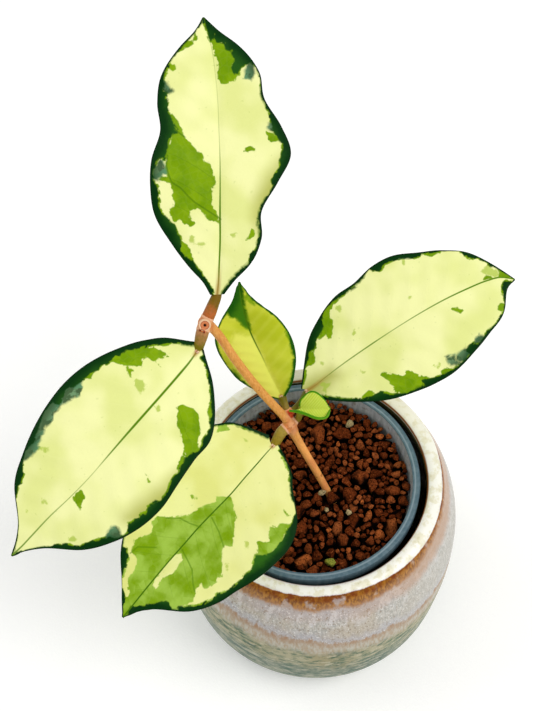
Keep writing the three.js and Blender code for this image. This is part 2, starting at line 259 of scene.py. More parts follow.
def speckle(place, scale, detail=3.0, roughness=0.5):
    return addNode("ShaderNodeTexNoise", {"Vector": place, "Scale": scale, "Detail": detail,
                                          "Roughness": roughness})


def reckon(operation, a, b=(0, 0, 0), output=0):
    return addNode("ShaderNodeVectorMath", {0: a, 1: b}, output, operation=operation)


def scaled(place, factors):
    return reckon("MULTIPLY", place, factors)


def splitPlace(place):
    return [addNode("ShaderNodeSeparateXYZ", {0: place}, output=axis) for axis in range(3)]


def objectPlace():
    return addNode("ShaderNodeTexCoord", {}, output="Object")


def readValue(name, output="Fac"):
    return addNode("ShaderNodeAttribute", {}, output, attribute_name=name)


def rampColor(value, stops):
    # the colour at the value between stops, each a place and a colour
    wire = addNode("ShaderNodeValToRGB", {0: value})
    ramp = wire.socket.node.color_ramp
    for _ in stops[2:]:
        ramp.elements.new(1.0)
    for stop, (spot, color) in zip(ramp.elements, stops):
        stop.position = spot
        stop.color = tone(*color)
    return wire


def makeGroup(name, inputs, outputs):
    # a node group whose sockets take 1, 3 or 4 numbers: values, vectors and colours
    group = sheet["tree"] = bpy.data.node_groups.new(name, "ShaderNodeTree")
    kinds = {1: "NodeSocketFloat", 3: "NodeSocketVector", 4: "NodeSocketColor"}
    for label, value in inputs.items():
        socket = group.interface.new_socket(label, in_out="INPUT", socket_type=kinds[np.size(value)])
        socket.default_value = value
    for label, size in outputs.items():
        group.interface.new_socket(label, in_out="OUTPUT", socket_type=kinds[size])
    enter = group.nodes.new("NodeGroupInput").outputs
    return group, {label: Wire(enter[label]) for label in inputs}


def closeGroup(group, **results):
    leave = group.nodes.new("NodeGroupOutput").inputs
    for label, wire in results.items():
        plug(wire, leave[label])
    return group


def placeGroup(group, inputs):
    node = addNode("ShaderNodeGroup", inputs, node_tree=group).socket.node
    return {socket.name: Wire(socket) for socket in node.outputs}


def startMaterial(name, **values):
    # a material with its shader, whose plain numbers are set here
    material = bpy.data.materials.new(name)
    material.use_nodes = True
    sheet["tree"] = material.node_tree
    shader = material.node_tree.nodes["Principled BSDF"]
    for key, value in values.items():
        shader.inputs[key.replace("_", " ")].default_value = value
    return material


def finishMaterial(material, color, height, depth, **masks):
    # colour, relief of a depth in metres, and what else changes over the surface
    shader = material.node_tree.nodes["Principled BSDF"]
    relief = addNode("ShaderNodeBump", {"Height": height, "Distance": depth, "Strength": 1.0})
    for key, value in {"Base_Color": color, "Normal": relief, **masks}.items():
        plug(value, shader.inputs[key.replace("_", " ")])
    return material


# camera, floor and lights

studio = {
    "cameraPlace": (-16.7, -184.5, 491.3), "down": 57.706, "roll": -3.688, "lens": 52.0,
    "floorSize": 6.0, "floorColors": (tone(250, 250, 249), tone(246, 246, 246)),
    "skyColor": (1.0, 1.0, 1.0), "skyStrength": 0.56, "floorGlow": 0.16,
    "lights": [
        # name, place in metres, size, watts, colour
        ("keyLight", (0.75, -0.35, 1.25), 0.9, 10.5, (1.0, 0.985, 0.96)),
        ("fillLight", (-0.95, 0.35, 1.0), 1.1, 4.2, (0.97, 0.985, 1.0)),
    ],
    "lightAim": (0.0, 0.0, 0.1),
}


def buildStudio():
    cameraData = bpy.data.cameras.new("photoCamera")
    cameraData.sensor_width = 36
    cameraData.lens = studio["lens"]
    cameraData.clip_start = 0.01
    camera = bpy.data.objects.new("photoCamera", cameraData)
    bpy.context.collection.objects.link(camera)
    camera.matrix_world = (Matrix.Translation(Vector(studio["cameraPlace"]) * mm)
                           @ Matrix.Rotation(math.radians(90 - studio["down"]), 4, "X")
                           @ Matrix.Rotation(math.radians(studio["roll"]), 4, "Z"))
    bpy.context.scene.camera = camera

    floor = addShape("plane", size=studio["floorSize"])
    floor.name = "paleFloor"
    material = startMaterial("floorPaper", Roughness=0.9, Specular_IOR_Level=0.1,
                             Emission_Color=(1.0, 1.0, 1.0, 1.0), Emission_Strength=studio["floorGlow"])
    grain = speckle(objectPlace(), 900.0)
    color = blendColor(fade(grain, 0.3, 0.7), *studio["floorColors"])
    floor.data.materials.append(finishMaterial(material, color, grain, 0.00005))

    world = bpy.data.worlds.new("softRoom")
    world.use_nodes = True
    back = world.node_tree.nodes["Background"]
    back.inputs[0].default_value = studio["skyColor"] + (1.0,)
    back.inputs[1].default_value = studio["skyStrength"]
    bpy.context.scene.world = world
    for name, place, size, watts, color in studio["lights"]:
        lampData = bpy.data.lights.new(name, "AREA")
        lampData.shape = "DISK"
        lampData.size = size
        lampData.energy = watts
        lampData.color = color
        lamp = bpy.data.objects.new(name, lampData)
        bpy.context.collection.objects.link(lamp)
        lamp.location = place
        aim = Vector(studio["lightAim"]) - Vector(place)
        lamp.rotation_euler = aim.to_track_quat("-Z", "Y").to_euler()
    bpy.context.scene.view_settings.view_transform = "Standard"
    print("studio ready")


buildStudio()


# shared node groups

def makeJaggedGroup():
    # a blocky, cell-edged mask from a distance in mm that is positive inside a patch
    group, enter = makeGroup("cellEdge", {"Distance": 0.0, "Place": (0, 0, 0), "Cell": 1.0,
                                          "Reach": 1.0, "Soft": 0.2}, {"Mask": 1})
    cells = addNode("ShaderNodeTexVoronoi", {"Vector": enter["Place"], "Scale": enter["Cell"],
                                             "Smoothness": 0.3}, output="Color",
                    feature="SMOOTH_F1", voronoi_dimensions="2D")
    pick = addNode("ShaderNodeSeparateColor", {0: cells})
    fine = speckle(enter["Place"], 0.55, 2.0)
    shift = (pick - 0.5) * 0.8 + (fine - 0.5) * 1.3
    moved = shift * enter["Reach"] + enter["Distance"]
    return closeGroup(group, Mask=fade(moved, enter["Soft"] * -1.0, enter["Soft"]))


def makeGrainGroup():
    # fine uneven colour and a matching height, for every surface
    group, enter = makeGroup("unevenSkin", {"Color": (0.5, 0.5, 0.5, 1), "Place": (0, 0, 0),
                                            "Scale": 500.0, "Amount": 0.1}, {"Color": 4, "Height": 1})
    broad = speckle(enter["Place"], enter["Scale"] * 0.15, 2.0)
    fine = speckle(enter["Place"], enter["Scale"], 4.0, 0.6)
    light = (broad * 0.6 + fine * 0.4 - 0.5) * (enter["Amount"] * 4.0) + 1.0
    color = addNode("ShaderNodeVectorMath", {0: enter["Color"], "Scale": light}, operation="SCALE")
    return closeGroup(group, Color=color, Height=fine)


cellEdge = makeJaggedGroup()
unevenSkin = makeGrainGroup()


def grainOver(color, at, scale, amount):
    skin = placeGroup(unevenSkin, {"Color": color, "Place": at, "Scale": scale, "Amount": amount})
    return skin["Color"], skin["Height"]


# the stem's knuckles, which the petioles leave: centre, radius, how much wider a collar is
knuckles = {
    "lowerKnuckle": {"centre": (-9.1, 11.0, 129), "radius": 2.9, "collar": 0.35},
    "upperKnuckle": {"centre": (-37.9, 22.6, 188), "radius": 2.6, "collar": 0.25},
    "sideBud": {"centre": (-9.5, 14.4, 132.2), "radius": 1.9, "collar": 0.2},
}

# leaves

# shares of a blade's length at which its half-widths and its rib's offset are given
stations = np.array([0, 0.05, 0.1, 0.2, 0.3, 0.4, 0.5, 0.6, 0.7, 0.8, 0.9, 0.95, 1])

# what most of the leaves share
plainLeaf = {"rows": 150, "columns": 84, "sag": 0, "arch": 4, "rise": [0.1, 0.1], "curl": [0, 0],
             "thickness": 1.3, "glands": True}

# ripple is its size, waves, start and the left side's shift; midrib gives share, strength and width
leaves = {
    "top": {
        "piece": "bladeTop", "skin": "mature", "leaves": "upperKnuckle",
        "toward": [0.5, 0.65, 0.57], "seat": 2.6, "stalk": [2.3, 2.1, 1.75], "sag": 0.2,
        "base": [-32.9, 31.1, 193], "heading": 88.4, "climb": 40, "roll": 5, "length": 96,
        "left": [2.5, 5, 9, 15.5, 20.5, 21.5, 20.5, 17, 17.5, 15.5, 8.5, 3.5, 0.2],
        "right": [2.5, 6.5, 11.5, 16.5, 17, 23, 28, 25, 19.5, 18, 11, 5, 0.2],
        "rib": [0, -0.7, -1.1, -1.9, -2.3, -2.8, -3.2, -3.3, -3.4, -3, -2, -1, 0],
        "ripple": [1.2, 1.6, 0.1, 0.3], "lobe": [0, 0, 12], "blush": 13,
        "midrib": [(0, 0.7, 0.8), (0.1, 1, 0.9), (0.3, 1, 1.0), (0.45, 0.85, 0.6), (0.55, 0.35, 0.5),
                   (0.8, 0.22, 0.5), (1, 0.5, 0.4)],
        "stalkColors": ((176, 96, 44), (116, 88, 8)), "glands": False,
    },
    "left": {
        "piece": "bladeLeft", "skin": "mature", "leaves": "upperKnuckle",
        "toward": [-0.32, -0.84, -0.45], "seat": 3.2, "stalk": [2.4, 2, 1.5],
        "base": [-41.5, 13.7, 183], "heading": -138.2, "climb": -17, "roll": -12, "length": 96,
        "left": [1, 11, 17.5, 25.5, 26.5, 28, 29.5, 28.5, 25, 18.5, 7, 3, 0.2],
        "right": [3, 11.5, 16, 21.5, 25, 26.5, 26, 24, 20.5, 15.5, 5, 2, 0.2],
        "rib": [0, 0.8, 1.2, 1.8, 2.2, 2.5, 2.8, 3, 2.5, 1.5, 1, 0.7, 0],
        "arch": 5, "ripple": [0.8, 1.3, 0, 0.4], "lobe": [2.4, 2.4, 12], "blush": 3,
        "midrib": [(0, 0.9, 0.9), (0.1, 1, 1.3), (0.35, 1, 1.3), (0.48, 0.9, 0.8),
                   (0.56, 0.4, 0.6), (0.72, 0.6, 0.6), (0.85, 0.8, 0.8), (1, 0.9, 0.9)],
        "stalkColors": ((176, 124, 76), (118, 108, 6)),
    },
    "lower": {
        "piece": "bladeLower", "skin": "bright", "columns": 90, "leaves": "lowerKnuckle",
        "toward": [-0.81, -0.56, -0.19], "seat": 3.2, "stalk": [2.3, 2.1, 1.8],
        "base": [-16.5, 3.6, 126], "heading": -134.4, "climb": -8, "roll": -12, "length": 87.4,
        "left": [1, 12, 17, 27, 31, 31, 29.5, 26.5, 23.5, 17.5, 6, 2.5, 0.2],
        "right": [4, 17, 22, 26, 28, 28, 27, 25, 22, 17, 8.5, 4.5, 0.2],
        "rib": [0, 0, 0.1, 0.2, 0.4, 0, -0.4, -0.4, -0.5, -0.4, -0.2, -0.1, 0],
        "ripple": [1, 1.8, 0.2, 0.3], "lobe": [2.4, 2.4, 12], "blush": 2,
        "midrib": [(0, 0.8, 0.6), (0.1, 1, 0.7), (0.4, 1, 0.8), (1, 1, 0.8)],
        "stalkColors": ((164, 140, 58), (146, 124, 32)),
    },
    "right": {
        "piece": "bladeRight", "skin": "mature", "leaves": "sideBud",
        "toward": [0.82, 0.47, 0.33], "seat": 2.5, "stalk": [1.3, 1.4, 1.5], "sag": 1.1,
        "base": [-1.6, 20.3, 139], "heading": 17.3, "climb": 20, "roll": 17, "length": 91.4,
        "left": [2, 9.5, 16, 23, 27, 28, 30.5, 30.5, 27, 23, 16, 9, 0.2],
        "right": [1.5, 6, 9.5, 15, 19, 21, 22, 21.5, 18.5, 14.5, 9, 2.5, 0.2],
        "rib": [0, 0.4, 1.1, 2.3, 3.2, 4, 4.7, 5.2, 5.4, 5.1, 4.3, 3.2, 0],
        "ripple": [0.8, 1.3, 0.3, 0.5], "lobe": [1.8, 1, 12], "blush": 14,
        "midrib": [(0, 0.35, 0.5), (0.2, 0.75, 0.7), (0.35, 0.9, 0.8), (0.45, 0.6, 0.6),
                   (0.6, 0.8, 0.7), (0.8, 1, 0.9), (1, 1, 0.9)],
        "stalkColors": ((128, 118, 30), (112, 118, 40)),
    },
    "middle": {
        "piece": "bladeMiddle", "skin": "mellow", "rows": 100, "columns": 56, "leaves": "sideBud",
        "toward": [-0.3, 0.6, 0.74], "seat": 2.5, "stalk": [1.5, 1.9, 2],
        "base": [-12, 19.4, 138], "heading": 121, "climb": 62, "roll": -20, "length": 54.1,
        "left": [1.5, 4.5, 6.5, 10.5, 13.5, 15, 16, 16.5, 15.5, 11, 4.5, 2.5, 0.2],
        "right": [1.5, 4, 6, 8.5, 10.5, 11.5, 11.5, 10.5, 8.5, 5, 2, 1.2, 0.2],
        "rib": [0, 0.2, 0.4, 0.9, 1.2, 1.5, 2, 2.4, 2.4, 2, 1.2, 0.7, 0],
        "arch": 2, "rise": [0.3, 0.3], "ripple": [0.5, 1.5, 0, 0.3], "lobe": [1, 1, 12],
        "thickness": 1.2, "blush": 1.5,
        "midrib": [(0, 0.0, 0.5), (0.3, 0.1, 0.6), (0.45, 0.8, 0.7), (0.6, 1, 0.9),
                   (0.9, 0.8, 0.8), (1, 0.3, 0.5)],
        "stalkColors": ((146, 124, 56), (104, 98, 8)),
    },
    "young": {
        "piece": "bladeYoung", "skin": "fresh", "rows": 48, "columns": 40, "leaves": "lowerKnuckle",
        "toward": [0.81, 0.51, 0.3], "seat": 3.2, "stalk": [1.4, 1.2, 0.8],
        "base": [-4.5, 13.95, 137.2], "heading": -10, "climb": 6, "roll": 42, "length": 11.6,
        "left": [0.8, 3.6, 4.6, 6, 7, 7.4, 7.3, 6.8, 5.9, 4.5, 2.7, 1.4, 0.5],
        "right": [1.5, 1.7, 2, 2.6, 3.2, 3.9, 4.6, 5.1, 5.2, 5, 4.1, 2.2, 0.5],
        "rib": [0] * 13,
        "arch": 1, "rise": [0.2, 0], "curl": [0.3, 1.9], "ripple": [0, 1, 0, 0],
        "lobe": [0.8, 4.5, 6], "thickness": 1, "blush": 0.5,
        "midrib": [(0, 0.2, 0.3), (1, 0.0, 0.3)],
        "stalkColors": ((140, 112, 30), (150, 160, 50)), "glands": False,
    },
}
leaves = {leafName: {**plainLeaf, **leaf} for leafName, leaf in leaves.items()}

# the variegation of each blade, with the painted shade where it turns from the light: outlines in
# millimetres along and across it, from its base
patches = {
    "top": {
        "dark": [
            [(96, 1.6), (90.5, 4.6), (82, 12.8), (79.5, 13.4), (75.5, 15), (71, 15.5), (70.5, 14.5),
             (65.5, 14.5), (57, 11), (56.5, 13), (55, 14), (48, 16), (48.5, 18), (44, 20.5), (41, 20.5),
             (38.5, 19), (31.5, 19), (28.5, 17.5), (25.5, 14.5), (19.5, 12), (17.5, 12.5), (14.5, 11.5),
             (13, 9), (2, 2), (-0.5, 1.5), (-1.5, 4.5), (4, 8.5), (12.5, 17), (22, 21.5), (32.5, 24.5),
             (43, 24.5), (52, 22.5), (57.5, 19), (65, 20.5), (75, 18.5), (84, 14.5), (90.5, 6.5),
             (95.5, 2.5)],
            [(94.5, 0), (88, -2), (90.5, -3.5), (87.5, -4.5), (87, -7), (85, -7.5), (84.5, -9.5),
             (81.5, -10), (78.5, -9), (76.5, -9.5), (76, -11), (78, -11.5), (80.5, -15.5), (79, -17),
             (80, -19.5), (85, -16), (89, -12), (95, -3), (97.5, -1)],
            [(92, -2.5), (88.5, -6), (84.5, -10.5), (80, -12), (81, -16), (86, -14), (92, -7)],
            [(61.5, -21), (56.5, -22), (53, -24.5), (52.5, -25.5), (49.5, -25.5), (48, -24.5),
             (43.5, -24), (39.5, -21), (38, -21.5), (38, -24), (42.5, -28), (47.5, -30), (53.5, -30),
             (58.5, -27.5), (62, -23.5)],
            [(21.5, -16.5), (16.5, -15), (13.5, -12.5), (10, -12.5), (5.5, -7.5), (3.5, -9),
             (7.5, -13.5), (13.5, -18), (20.5, -18)],
        ],
        "mid": [
            [(63, 14), (63, 12.5), (58, 9.5), (55.5, 9), (50.5, 4.5), (49.5, 2.5), (47, 2.5), (46, 0.5),
             (43.5, -0.5), (39, -1), (38.5, 0), (34.5, 0), (32, 0.5), (27, -2), (24.5, -2), (26, -1),
             (26, 2), (29, 3.5), (30.5, 5.5), (30, 8), (28, 8.5), (25.5, 6.5), (24.5, 8.5), (27, 12),
             (26.5, 14.5), (31, 15.5), (32, 13.5), (34.5, 14), (37, 13.5), (39.5, 14.5), (41, 19),
             (42.5, 17.5), (42, 15.5), (45, 16), (51, 15), (57, 12)],
            [(90.5, -3), (89.5, -4.5), (87.5, -4.5), (87, -7), (85, -7.5), (84.5, -9.5), (81.5, -10),
             (79, -9), (76.5, -11), (73.5, -9.5), (73, -5), (74.5, -4), (81, -4), (83, -3), (88.5, -2)],
            [(20.5, 13), (18.5, 10), (16.5, 8.5), (14, 8.5), (5.5, 3.5), (7, 6), (14.5, 12.5)],
            [(81.5, 12.5), (80, 11), (78.5, 10.5), (78, 12), (79.5, 13.5)],
            [(88, 6.5), (88, 4.5), (86.5, 4), (84.5, 9), (86.5, 8.5)],
            [(91.5, 3), (89.5, 2.5), (88, 2.5), (88, 4.5), (90.5, 3.5)],
            [(56, -19.5), (56, -21.5), (52.5, -24.5), (52.5, -20.5)],
            [(74, -18.5), (71.5, -19), (69.5, -19.5), (68.5, -19), (70, -18)],
            [(68, -19.5), (65.5, -20.5), (62.5, -21), (62, -20.5), (64.5, -19.5)],
            [(8, -9.5), (1, -1.5), (0, -4), (3.5, -8.5), (7, -11)],
            [(51, -12), (51.5, -13.5), (50.5, -15.5), (49.5, -15.5), (49.5, -11.5)],
            [(23, -13.5), (22.5, -14.5), (20.5, -14), (19, -12.5), (19, -11)],
        ],
        "faint": [
            [(21.5, 8.5), (20.5, 7), (18.5, 7), (18.5, 8.5), (20, 9)],
            [(18.5, 6.5), (19.5, 4), (18, 3), (17, 5)],
            [(21, -5.5), (21.5, -7.5), (20, -7.5), (20, -6)],
        ],
        "clear": [
            [(75.5, 15), (71, 12), (70.5, 13.5), (71, 15.5), (73.5, 16)],
            [(47.5, 18), (47.5, 17), (43.5, 16), (41, 18.5), (41.5, 20.5), (44, 20.5)],
            [(80, -15), (78.5, -16.5), (76, -16.5), (74, -15), (74.5, -13), (77, -13)],
            [(59, -20.5), (59, -21.5), (58, -23), (56, -22.5), (57, -20.5)],
        ],
        "shade": [
            [(46, -26), (41, -21.5), (37, -18.5), (33, -16.5), (27, -15.5), (22, -17), (28, -24),
             (38, -27)],
        ],
        "vein": [
            [(27, -2), (30.5, 3), (33, 6.5), (35, 8.5), (38, 11), (40, 14), (43, 15), (46, 15.5),
             (48.5, 15)],
            [(55.5, 9), (57.5, 11.5)],
        ],
    },
    "left": {
        "dark": [
            [(-1.5, -3.5), (0, -4.5), (1.5, -7), (5.5, -11), (16.5, -18.5), (19, -18.5), (20.5, -20),
             (22.5, -19.5), (26.5, -21.5), (28, -21), (30, -22), (37.5, -23), (38.5, -24), (41, -24.5),
             (46.5, -22.5), (47, -25.5), (51.5, -25.5), (56, -23.5), (57.5, -22), (60, -21.5),
             (61.5, -20), (64.5, -21), (67, -20.5), (69, -19.5), (72.5, -15.5), (75, -14), (76.5, -14),
             (79.5, -12), (81.5, -14), (74.5, -20.5), (64.5, -24.5), (49.5, -28), (33, -27.5), (20, -25),
             (8.5, -19.5), (0.5, -12.5), (-4, -4.5)],
            [(0.5, 2.5), (1, 6), (6.5, 14), (13, 20.5), (14.5, 21), (17, 23.5), (21.5, 24), (22.5, 25),
             (25, 25.5), (29.5, 24.5), (30, 23.5), (35.5, 26), (37, 25.5), (39, 25.5), (42.5, 27.5),
             (47, 28), (48, 26.5), (51, 26), (53, 27), (54.5, 25.5), (55, 26.5), (59.5, 24.5),
             (60.5, 26), (62.5, 27), (65.5, 25.5), (67.5, 22.5), (78, 16), (78.5, 14), (82.5, 10),
             (84.5, 9), (86.5, 11), (79, 19), (68.5, 26.5), (56, 31.5), (44.5, 32), (17, 26.5), (8, 20),
             (1.5, 11), (-2, 3.5)],
        ],
        "mid": [
            [(12, -16), (8.5, -11.5), (7.5, -6.5), (8, -6), (11, -8.5), (12, -7.5), (12.5, -4.5),
             (13, -11), (15, -12), (17, -10), (20.5, -14.5), (23.5, -20.5), (20, -21.5), (15.5, -19.5)],
            [(3, -9), (4.5, -8.5), (10, -13), (10, -15), (5.5, -12.5)],
            [(33.5, -22), (32, -20.5), (28.5, -21), (28, -23), (32, -24)],
            [(11, 16.5), (9, 16), (8.5, 16.5), (13, 21), (14.5, 20.5), (14, 19)],
            [(7.5, 13.5), (6, 13), (8, 15.5), (9, 15.5)],
            [(1, 5), (1, 6.5), (3.5, 10), (2.5, 8.5)],
            [(28.5, 21.5), (30, 23.5), (36, 26), (35.5, 24.5), (33.5, 23.5)],
            [(17.5, 9.5), (15.5, 13.5), (16.5, 17.5), (18, 18.5), (20, 21.5), (24, 23.5), (25, 25),
             (27, 25.5), (29.5, 25), (30, 24), (23, 13), (20, 10.5), (19.5, 9)],
            [(21, -13.5), (19.5, -12), (20, -11), (21, -11.5), (22, -9.5), (22.5, -10.5)],
            [(62.5, 3), (62, 4), (63, 6.5), (67.5, 8.5), (66.5, 3.5)],
            [(43, 16.5), (43.5, 18), (44.5, 20.5), (45, 19.5), (44, 18)],
        ],
        "faint": [
            [(21.5, -8.5), (20, -6.5), (21, -4), (24.5, -3.5), (23.5, -7.5)],
            [(75.5, 12.5), (75.5, 14.5), (76.5, 14.5), (78, 12.5), (77, 12)],
            [(24, 3), (23, 4), (24.5, 6), (25, 5)],
            [(80.5, -6.5), (80, -5.5), (81, -5.5), (81, -6)],
            [(74, -4.5), (73, -3), (74, -2), (75, -3.5)],
            [(63, -19), (59.5, -14.5), (60.5, -13.5), (61.5, -14.5)],
        ],
        "clear": [
            [(34.5, -22.5), (37, -20), (39, -19.5), (45.5, -22), (48.5, -22), (52, -20.5), (55, -21),
             (63, -17.5), (65.5, -17.5), (69, -19), (68.5, -21), (52.5, -26), (39, -26.5), (35, -25)],
            [(66.5, 21), (64.5, 21), (63.5, 22), (63.5, 24), (64.5, 26), (66, 26), (69, 22.5)],
        ],
        "shade": [[(33, 27), (42, 26), (52, 24), (58, 23), (56, 31), (44, 31), (34, 30)]],
    },
    "lower": {
        "dark": [
            [(13, 24), (17, 25.4), (20, 26), (26.5, 27.5), (33, 27.5), (35, 26.5), (38, 23.5), (43, 26),
             (45, 25), (47.5, 25.5), (53.5, 24.5), (58, 22), (61, 21.5), (65.5, 19.5), (71, 14),
             (73, 16), (67, 23.5), (44.5, 32), (31.5, 35), (20, 33.5), (14, 29.5)],
            [(82.5, 0), (77.5, 5), (72.5, 8.5), (73, 12), (75.5, 13.5), (87, 1)],
            [(68.5, -17.5), (68, -15.5), (70.5, -13), (76, -10.5), (78, -12), (70, -19.5)],
            [(80, -7), (82, -4), (86, -1.5), (87.5, -3.5), (81, -8.5)],
            [(8, -23), (6.5, -21.5), (4, -18), (1.5, -19.5), (6.5, -25)],
            [(-0.5, 3), (2, 10.5), (6.5, 14.5), (5, 16), (-1, 11), (-2.5, 5.5)],
        ],
        "mid": [
            [(30.5, -3), (26.5, 1), (31, 7.5), (41, 14.5), (42, 14), (42.5, 12), (44, 12), (52.5, 19),
             (53.5, 18), (55, 18.5), (59, 17.5), (60, 16.5), (59, 14.5), (62, 14.5), (66, 16.5),
             (70.5, 14), (72, 13.5), (85.5, 2), (90.5, 0.5), (83, -5), (79.5, -3.5), (78, -6),
             (74.5, -8.5), (71.5, -8), (68.5, -10), (67.5, -11.5), (67.5, -14), (65, -14.5), (63.5, -16),
             (58, -13), (55, -13), (54.5, -14.5), (53.5, -15.5), (51, -15), (49, -12), (42.5, -6),
             (38, -5), (32, -2)],
            [(26, 20), (25, 21), (24.5, 22.5), (22, 22), (21, 24.5), (23, 26), (26.5, 27.5), (34, 27.5),
             (37, 26), (37.5, 24), (33.5, 20), (31, 24)],
            [(1.5, 5.5), (1, 6.5), (2, 9.5), (5, 13)],
            [(17, 19.5), (17.5, 22), (16.5, 23.5), (18.5, 22.5), (18, 20.5)],
            [(8.5, -21.5), (7, -21), (5.5, -19.5), (7, -16.5), (11, -20)],
            [(3, -14.5), (1, -11.5), (2.5, -12)],
            [(37, -11.5), (36, -10), (36, -8), (37.5, -9.5)],
        ],
        "faint": [
            [(5.5, -11), (5.5, -8.5), (6, -9)],
            [(36.5, 16.5), (35.5, 18), (38, 20), (38.5, 18.5)],
            [(47.5, 16.5), (47, 18), (49, 19), (49, 17)],
        ],
        "cream": [
            [(55.5, 1.5), (57, 3), (63.5, 3.5), (67.5, 1.5), (69.5, 2.5), (71.5, 2.5), (71.5, 0.5),
             (64.5, -0.5), (57.5, -0.5)],
        ],
        "vein": [
            [(38, 1.5), (40, 6.5), (43, 11.5)],
            [(54.5, 1), (56, 5), (57.5, 8.5), (61, 12), (62.5, 14)],
            [(43.5, -0.5), (45, -4), (46, -8), (49, -11.5)],
            [(67.5, -13.5), (64.5, -13), (60.5, -8)],
        ],
    },
    "right": {
        "dark": [
            [(8, 13), (11, 13.5), (12.5, 16), (17.5, 18.5), (18, 21), (20, 23), (20, 25), (15, 23.5),
             (6, 17.5), (1, 10), (3, 8.5)],
            [(28, 26.5), (30.5, 26), (34, 27), (36.5, 27.5), (36.5, 29), (30.5, 29.5)],
            [(45.5, 29), (48, 27.5), (51, 29), (56, 28.5), (60.5, 27), (62, 25.5), (64.5, 25.5),
             (66, 29), (57, 33), (48.5, 33), (44.5, 30.5)],
            [(79, 19), (80, 16), (81, 14.5), (83, 14.5), (86.5, 8.5), (89, 9), (86, 16), (80, 21)],
            [(87.5, 1), (85.5, -1), (84.5, -5), (82.5, -9), (74.5, -14), (72.5, -13.5), (69.5, -16.5),
             (67, -16.5), (66, -15.5), (64, -15.5), (62.5, -16.5), (62.5, -18.5), (57.5, -20.5),
             (51, -21), (42, -19), (42, -21), (33.5, -20.5), (28.5, -17.5), (25.5, -15), (19, -14.5),
             (5, -7.5), (4, -10), (24.5, -21), (39.5, -25), (54.5, -25.5), (70, -19.5), (85, -10.5),
             (90.5, -1.5)],
        ],
        "mid": [
            [(8, 13), (10, 12.5), (9.5, 10.5), (8, 7.5), (4, 9), (5, 12)],
            [(2.5, 8), (4, 7.5), (3, 5.5), (0.5, 3), (-1, 3)],
            [(26.5, 26.5), (29, 26), (28, 24.5), (25.5, 25), (24.5, 23.5), (23.5, 23.5), (22, 20.5),
             (22.5, 19), (20, 15), (18.5, 13.5), (17.5, 14), (17.5, 16), (15, 15), (13.5, 15.5),
             (17.5, 18.5), (18, 21), (20, 23), (20.5, 24.5)],
            [(65, 25.5), (68.5, 22.5), (72, 22.5), (72.5, 24), (65.5, 27.5)],
            [(88.5, 7.5), (91.5, 0.5), (86.5, 3), (80.5, 5), (82.5, 6.5), (85, 4), (87, 4)],
            [(84.5, -1.5), (86, -2), (84.5, -4.5), (83.5, -3.5)],
            [(82, -6), (83.5, -7), (82.5, -9), (81, -9.5), (79.5, -8), (80.5, -6.5)],
            [(28.5, -8.5), (30, -8.5), (36.5, -13.5), (39, -12), (42, -16.5), (45, -19), (44, -19.5),
             (42, -19), (42, -21.5), (33, -21), (32, -18), (30, -16.5), (31.5, -15.5)],
            [(49.5, -18.5), (52, -18.5), (54, -20), (52.5, -22), (49, -21)],
            [(22, -12), (24, -14), (22, -15), (19.5, -15), (17.5, -13.5), (19, -12.5)],
            [(5, -4.5), (12.5, -10.5), (17.5, -13), (16.5, -14.5), (8, -10), (3.5, -5.5)],
            [(64.5, 1), (67, 0), (68.5, -2), (67, -2.5), (65.5, -0.5)],
        ],
        "faint": [
            [(6, 0), (8, -0.5), (10, -2), (9.5, -3), (7.5, -3), (6.5, -4.5), (5.5, -3), (6.5, -2)],
            [(26, 23.5), (28, 23), (27, 20), (26, 20.5), (25.5, 22)],
            [(57.5, 28), (58.5, 27), (57.5, 24.5), (56.5, 25)],
            [(81.5, 8.5), (84, 10), (86.5, 7.5), (87, 4), (85, 4)],
            [(28, 12), (28.5, 11.5), (27.5, 9.5), (26.5, 10)],
            [(53, 13), (54, 12.5), (53.5, 11.5), (52.5, 12)],
            [(50.5, -15.5), (51.5, -16), (50.5, -17.5), (50, -16.5)],
            [(48.5, -15.5), (50.5, -17), (49.5, -17.5), (48.5, -16)],
            [(23, -3.5), (24.5, -5), (23.5, -5.5), (22.5, -4.5)],
            [(10.5, 7.5), (11.5, 6.5), (10.5, 5.5), (10, 6.5)],
        ],
        "clear": [
            [(50.5, 30), (62, 26), (62, 28), (57.5, 31), (53, 31)],
            [(69, -13.5), (71.5, -15), (69.5, -16.5), (66.5, -15.5), (67, -14)],
            [(58.5, -16), (62, -15.5), (63, -17.5), (60.5, -19.5), (57.5, -19.5), (57, -17.5)],
            [(54, -15), (57.5, -16), (56.5, -19.5), (54, -19)],
        ],
        "shade": [[(-1, 1.5), (3, 2), (12, 1.5), (13, -0.5), (5, -2), (0, -1)]],
    },
    "middle": {
        "dark": [
            [(55, -1), (50, 5), (46.5, 7.5), (43.5, 7.2), (42.5, 5.5), (39, 4.3), (34.5, 2.2),
             (45.5, 1.4)],
        ],
        "clear": [
            [(-1, 0), (1, 4), (5, 7), (12, 10), (22, 12.5), (31, 12.5), (36, 8), (31, 2.2), (15, 1),
             (6, 0.2)],
        ],
        "mid": [
            [(54.5, -0.5), (49, -1), (47.5, 0), (45.5, -0.5), (43.5, -2.5), (44.5, -3.5), (47.5, -2),
             (50.5, -2)],
            [(39.5, -9), (37, -10), (34.5, -10.5), (35.5, -9.5), (38, -8.5)],
            [(31, -10.5), (30, -11.5), (26.5, -11.5), (23, -10.5), (28, -9.5)],
            [(22.5, 13), (18.5, 11.5), (16, 11), (17, 13), (22.5, 14.5)],
            [(32.5, 16.5), (31.5, 15.5), (28.5, 16), (29, 17)],
        ],
    },
    "young": {},
}

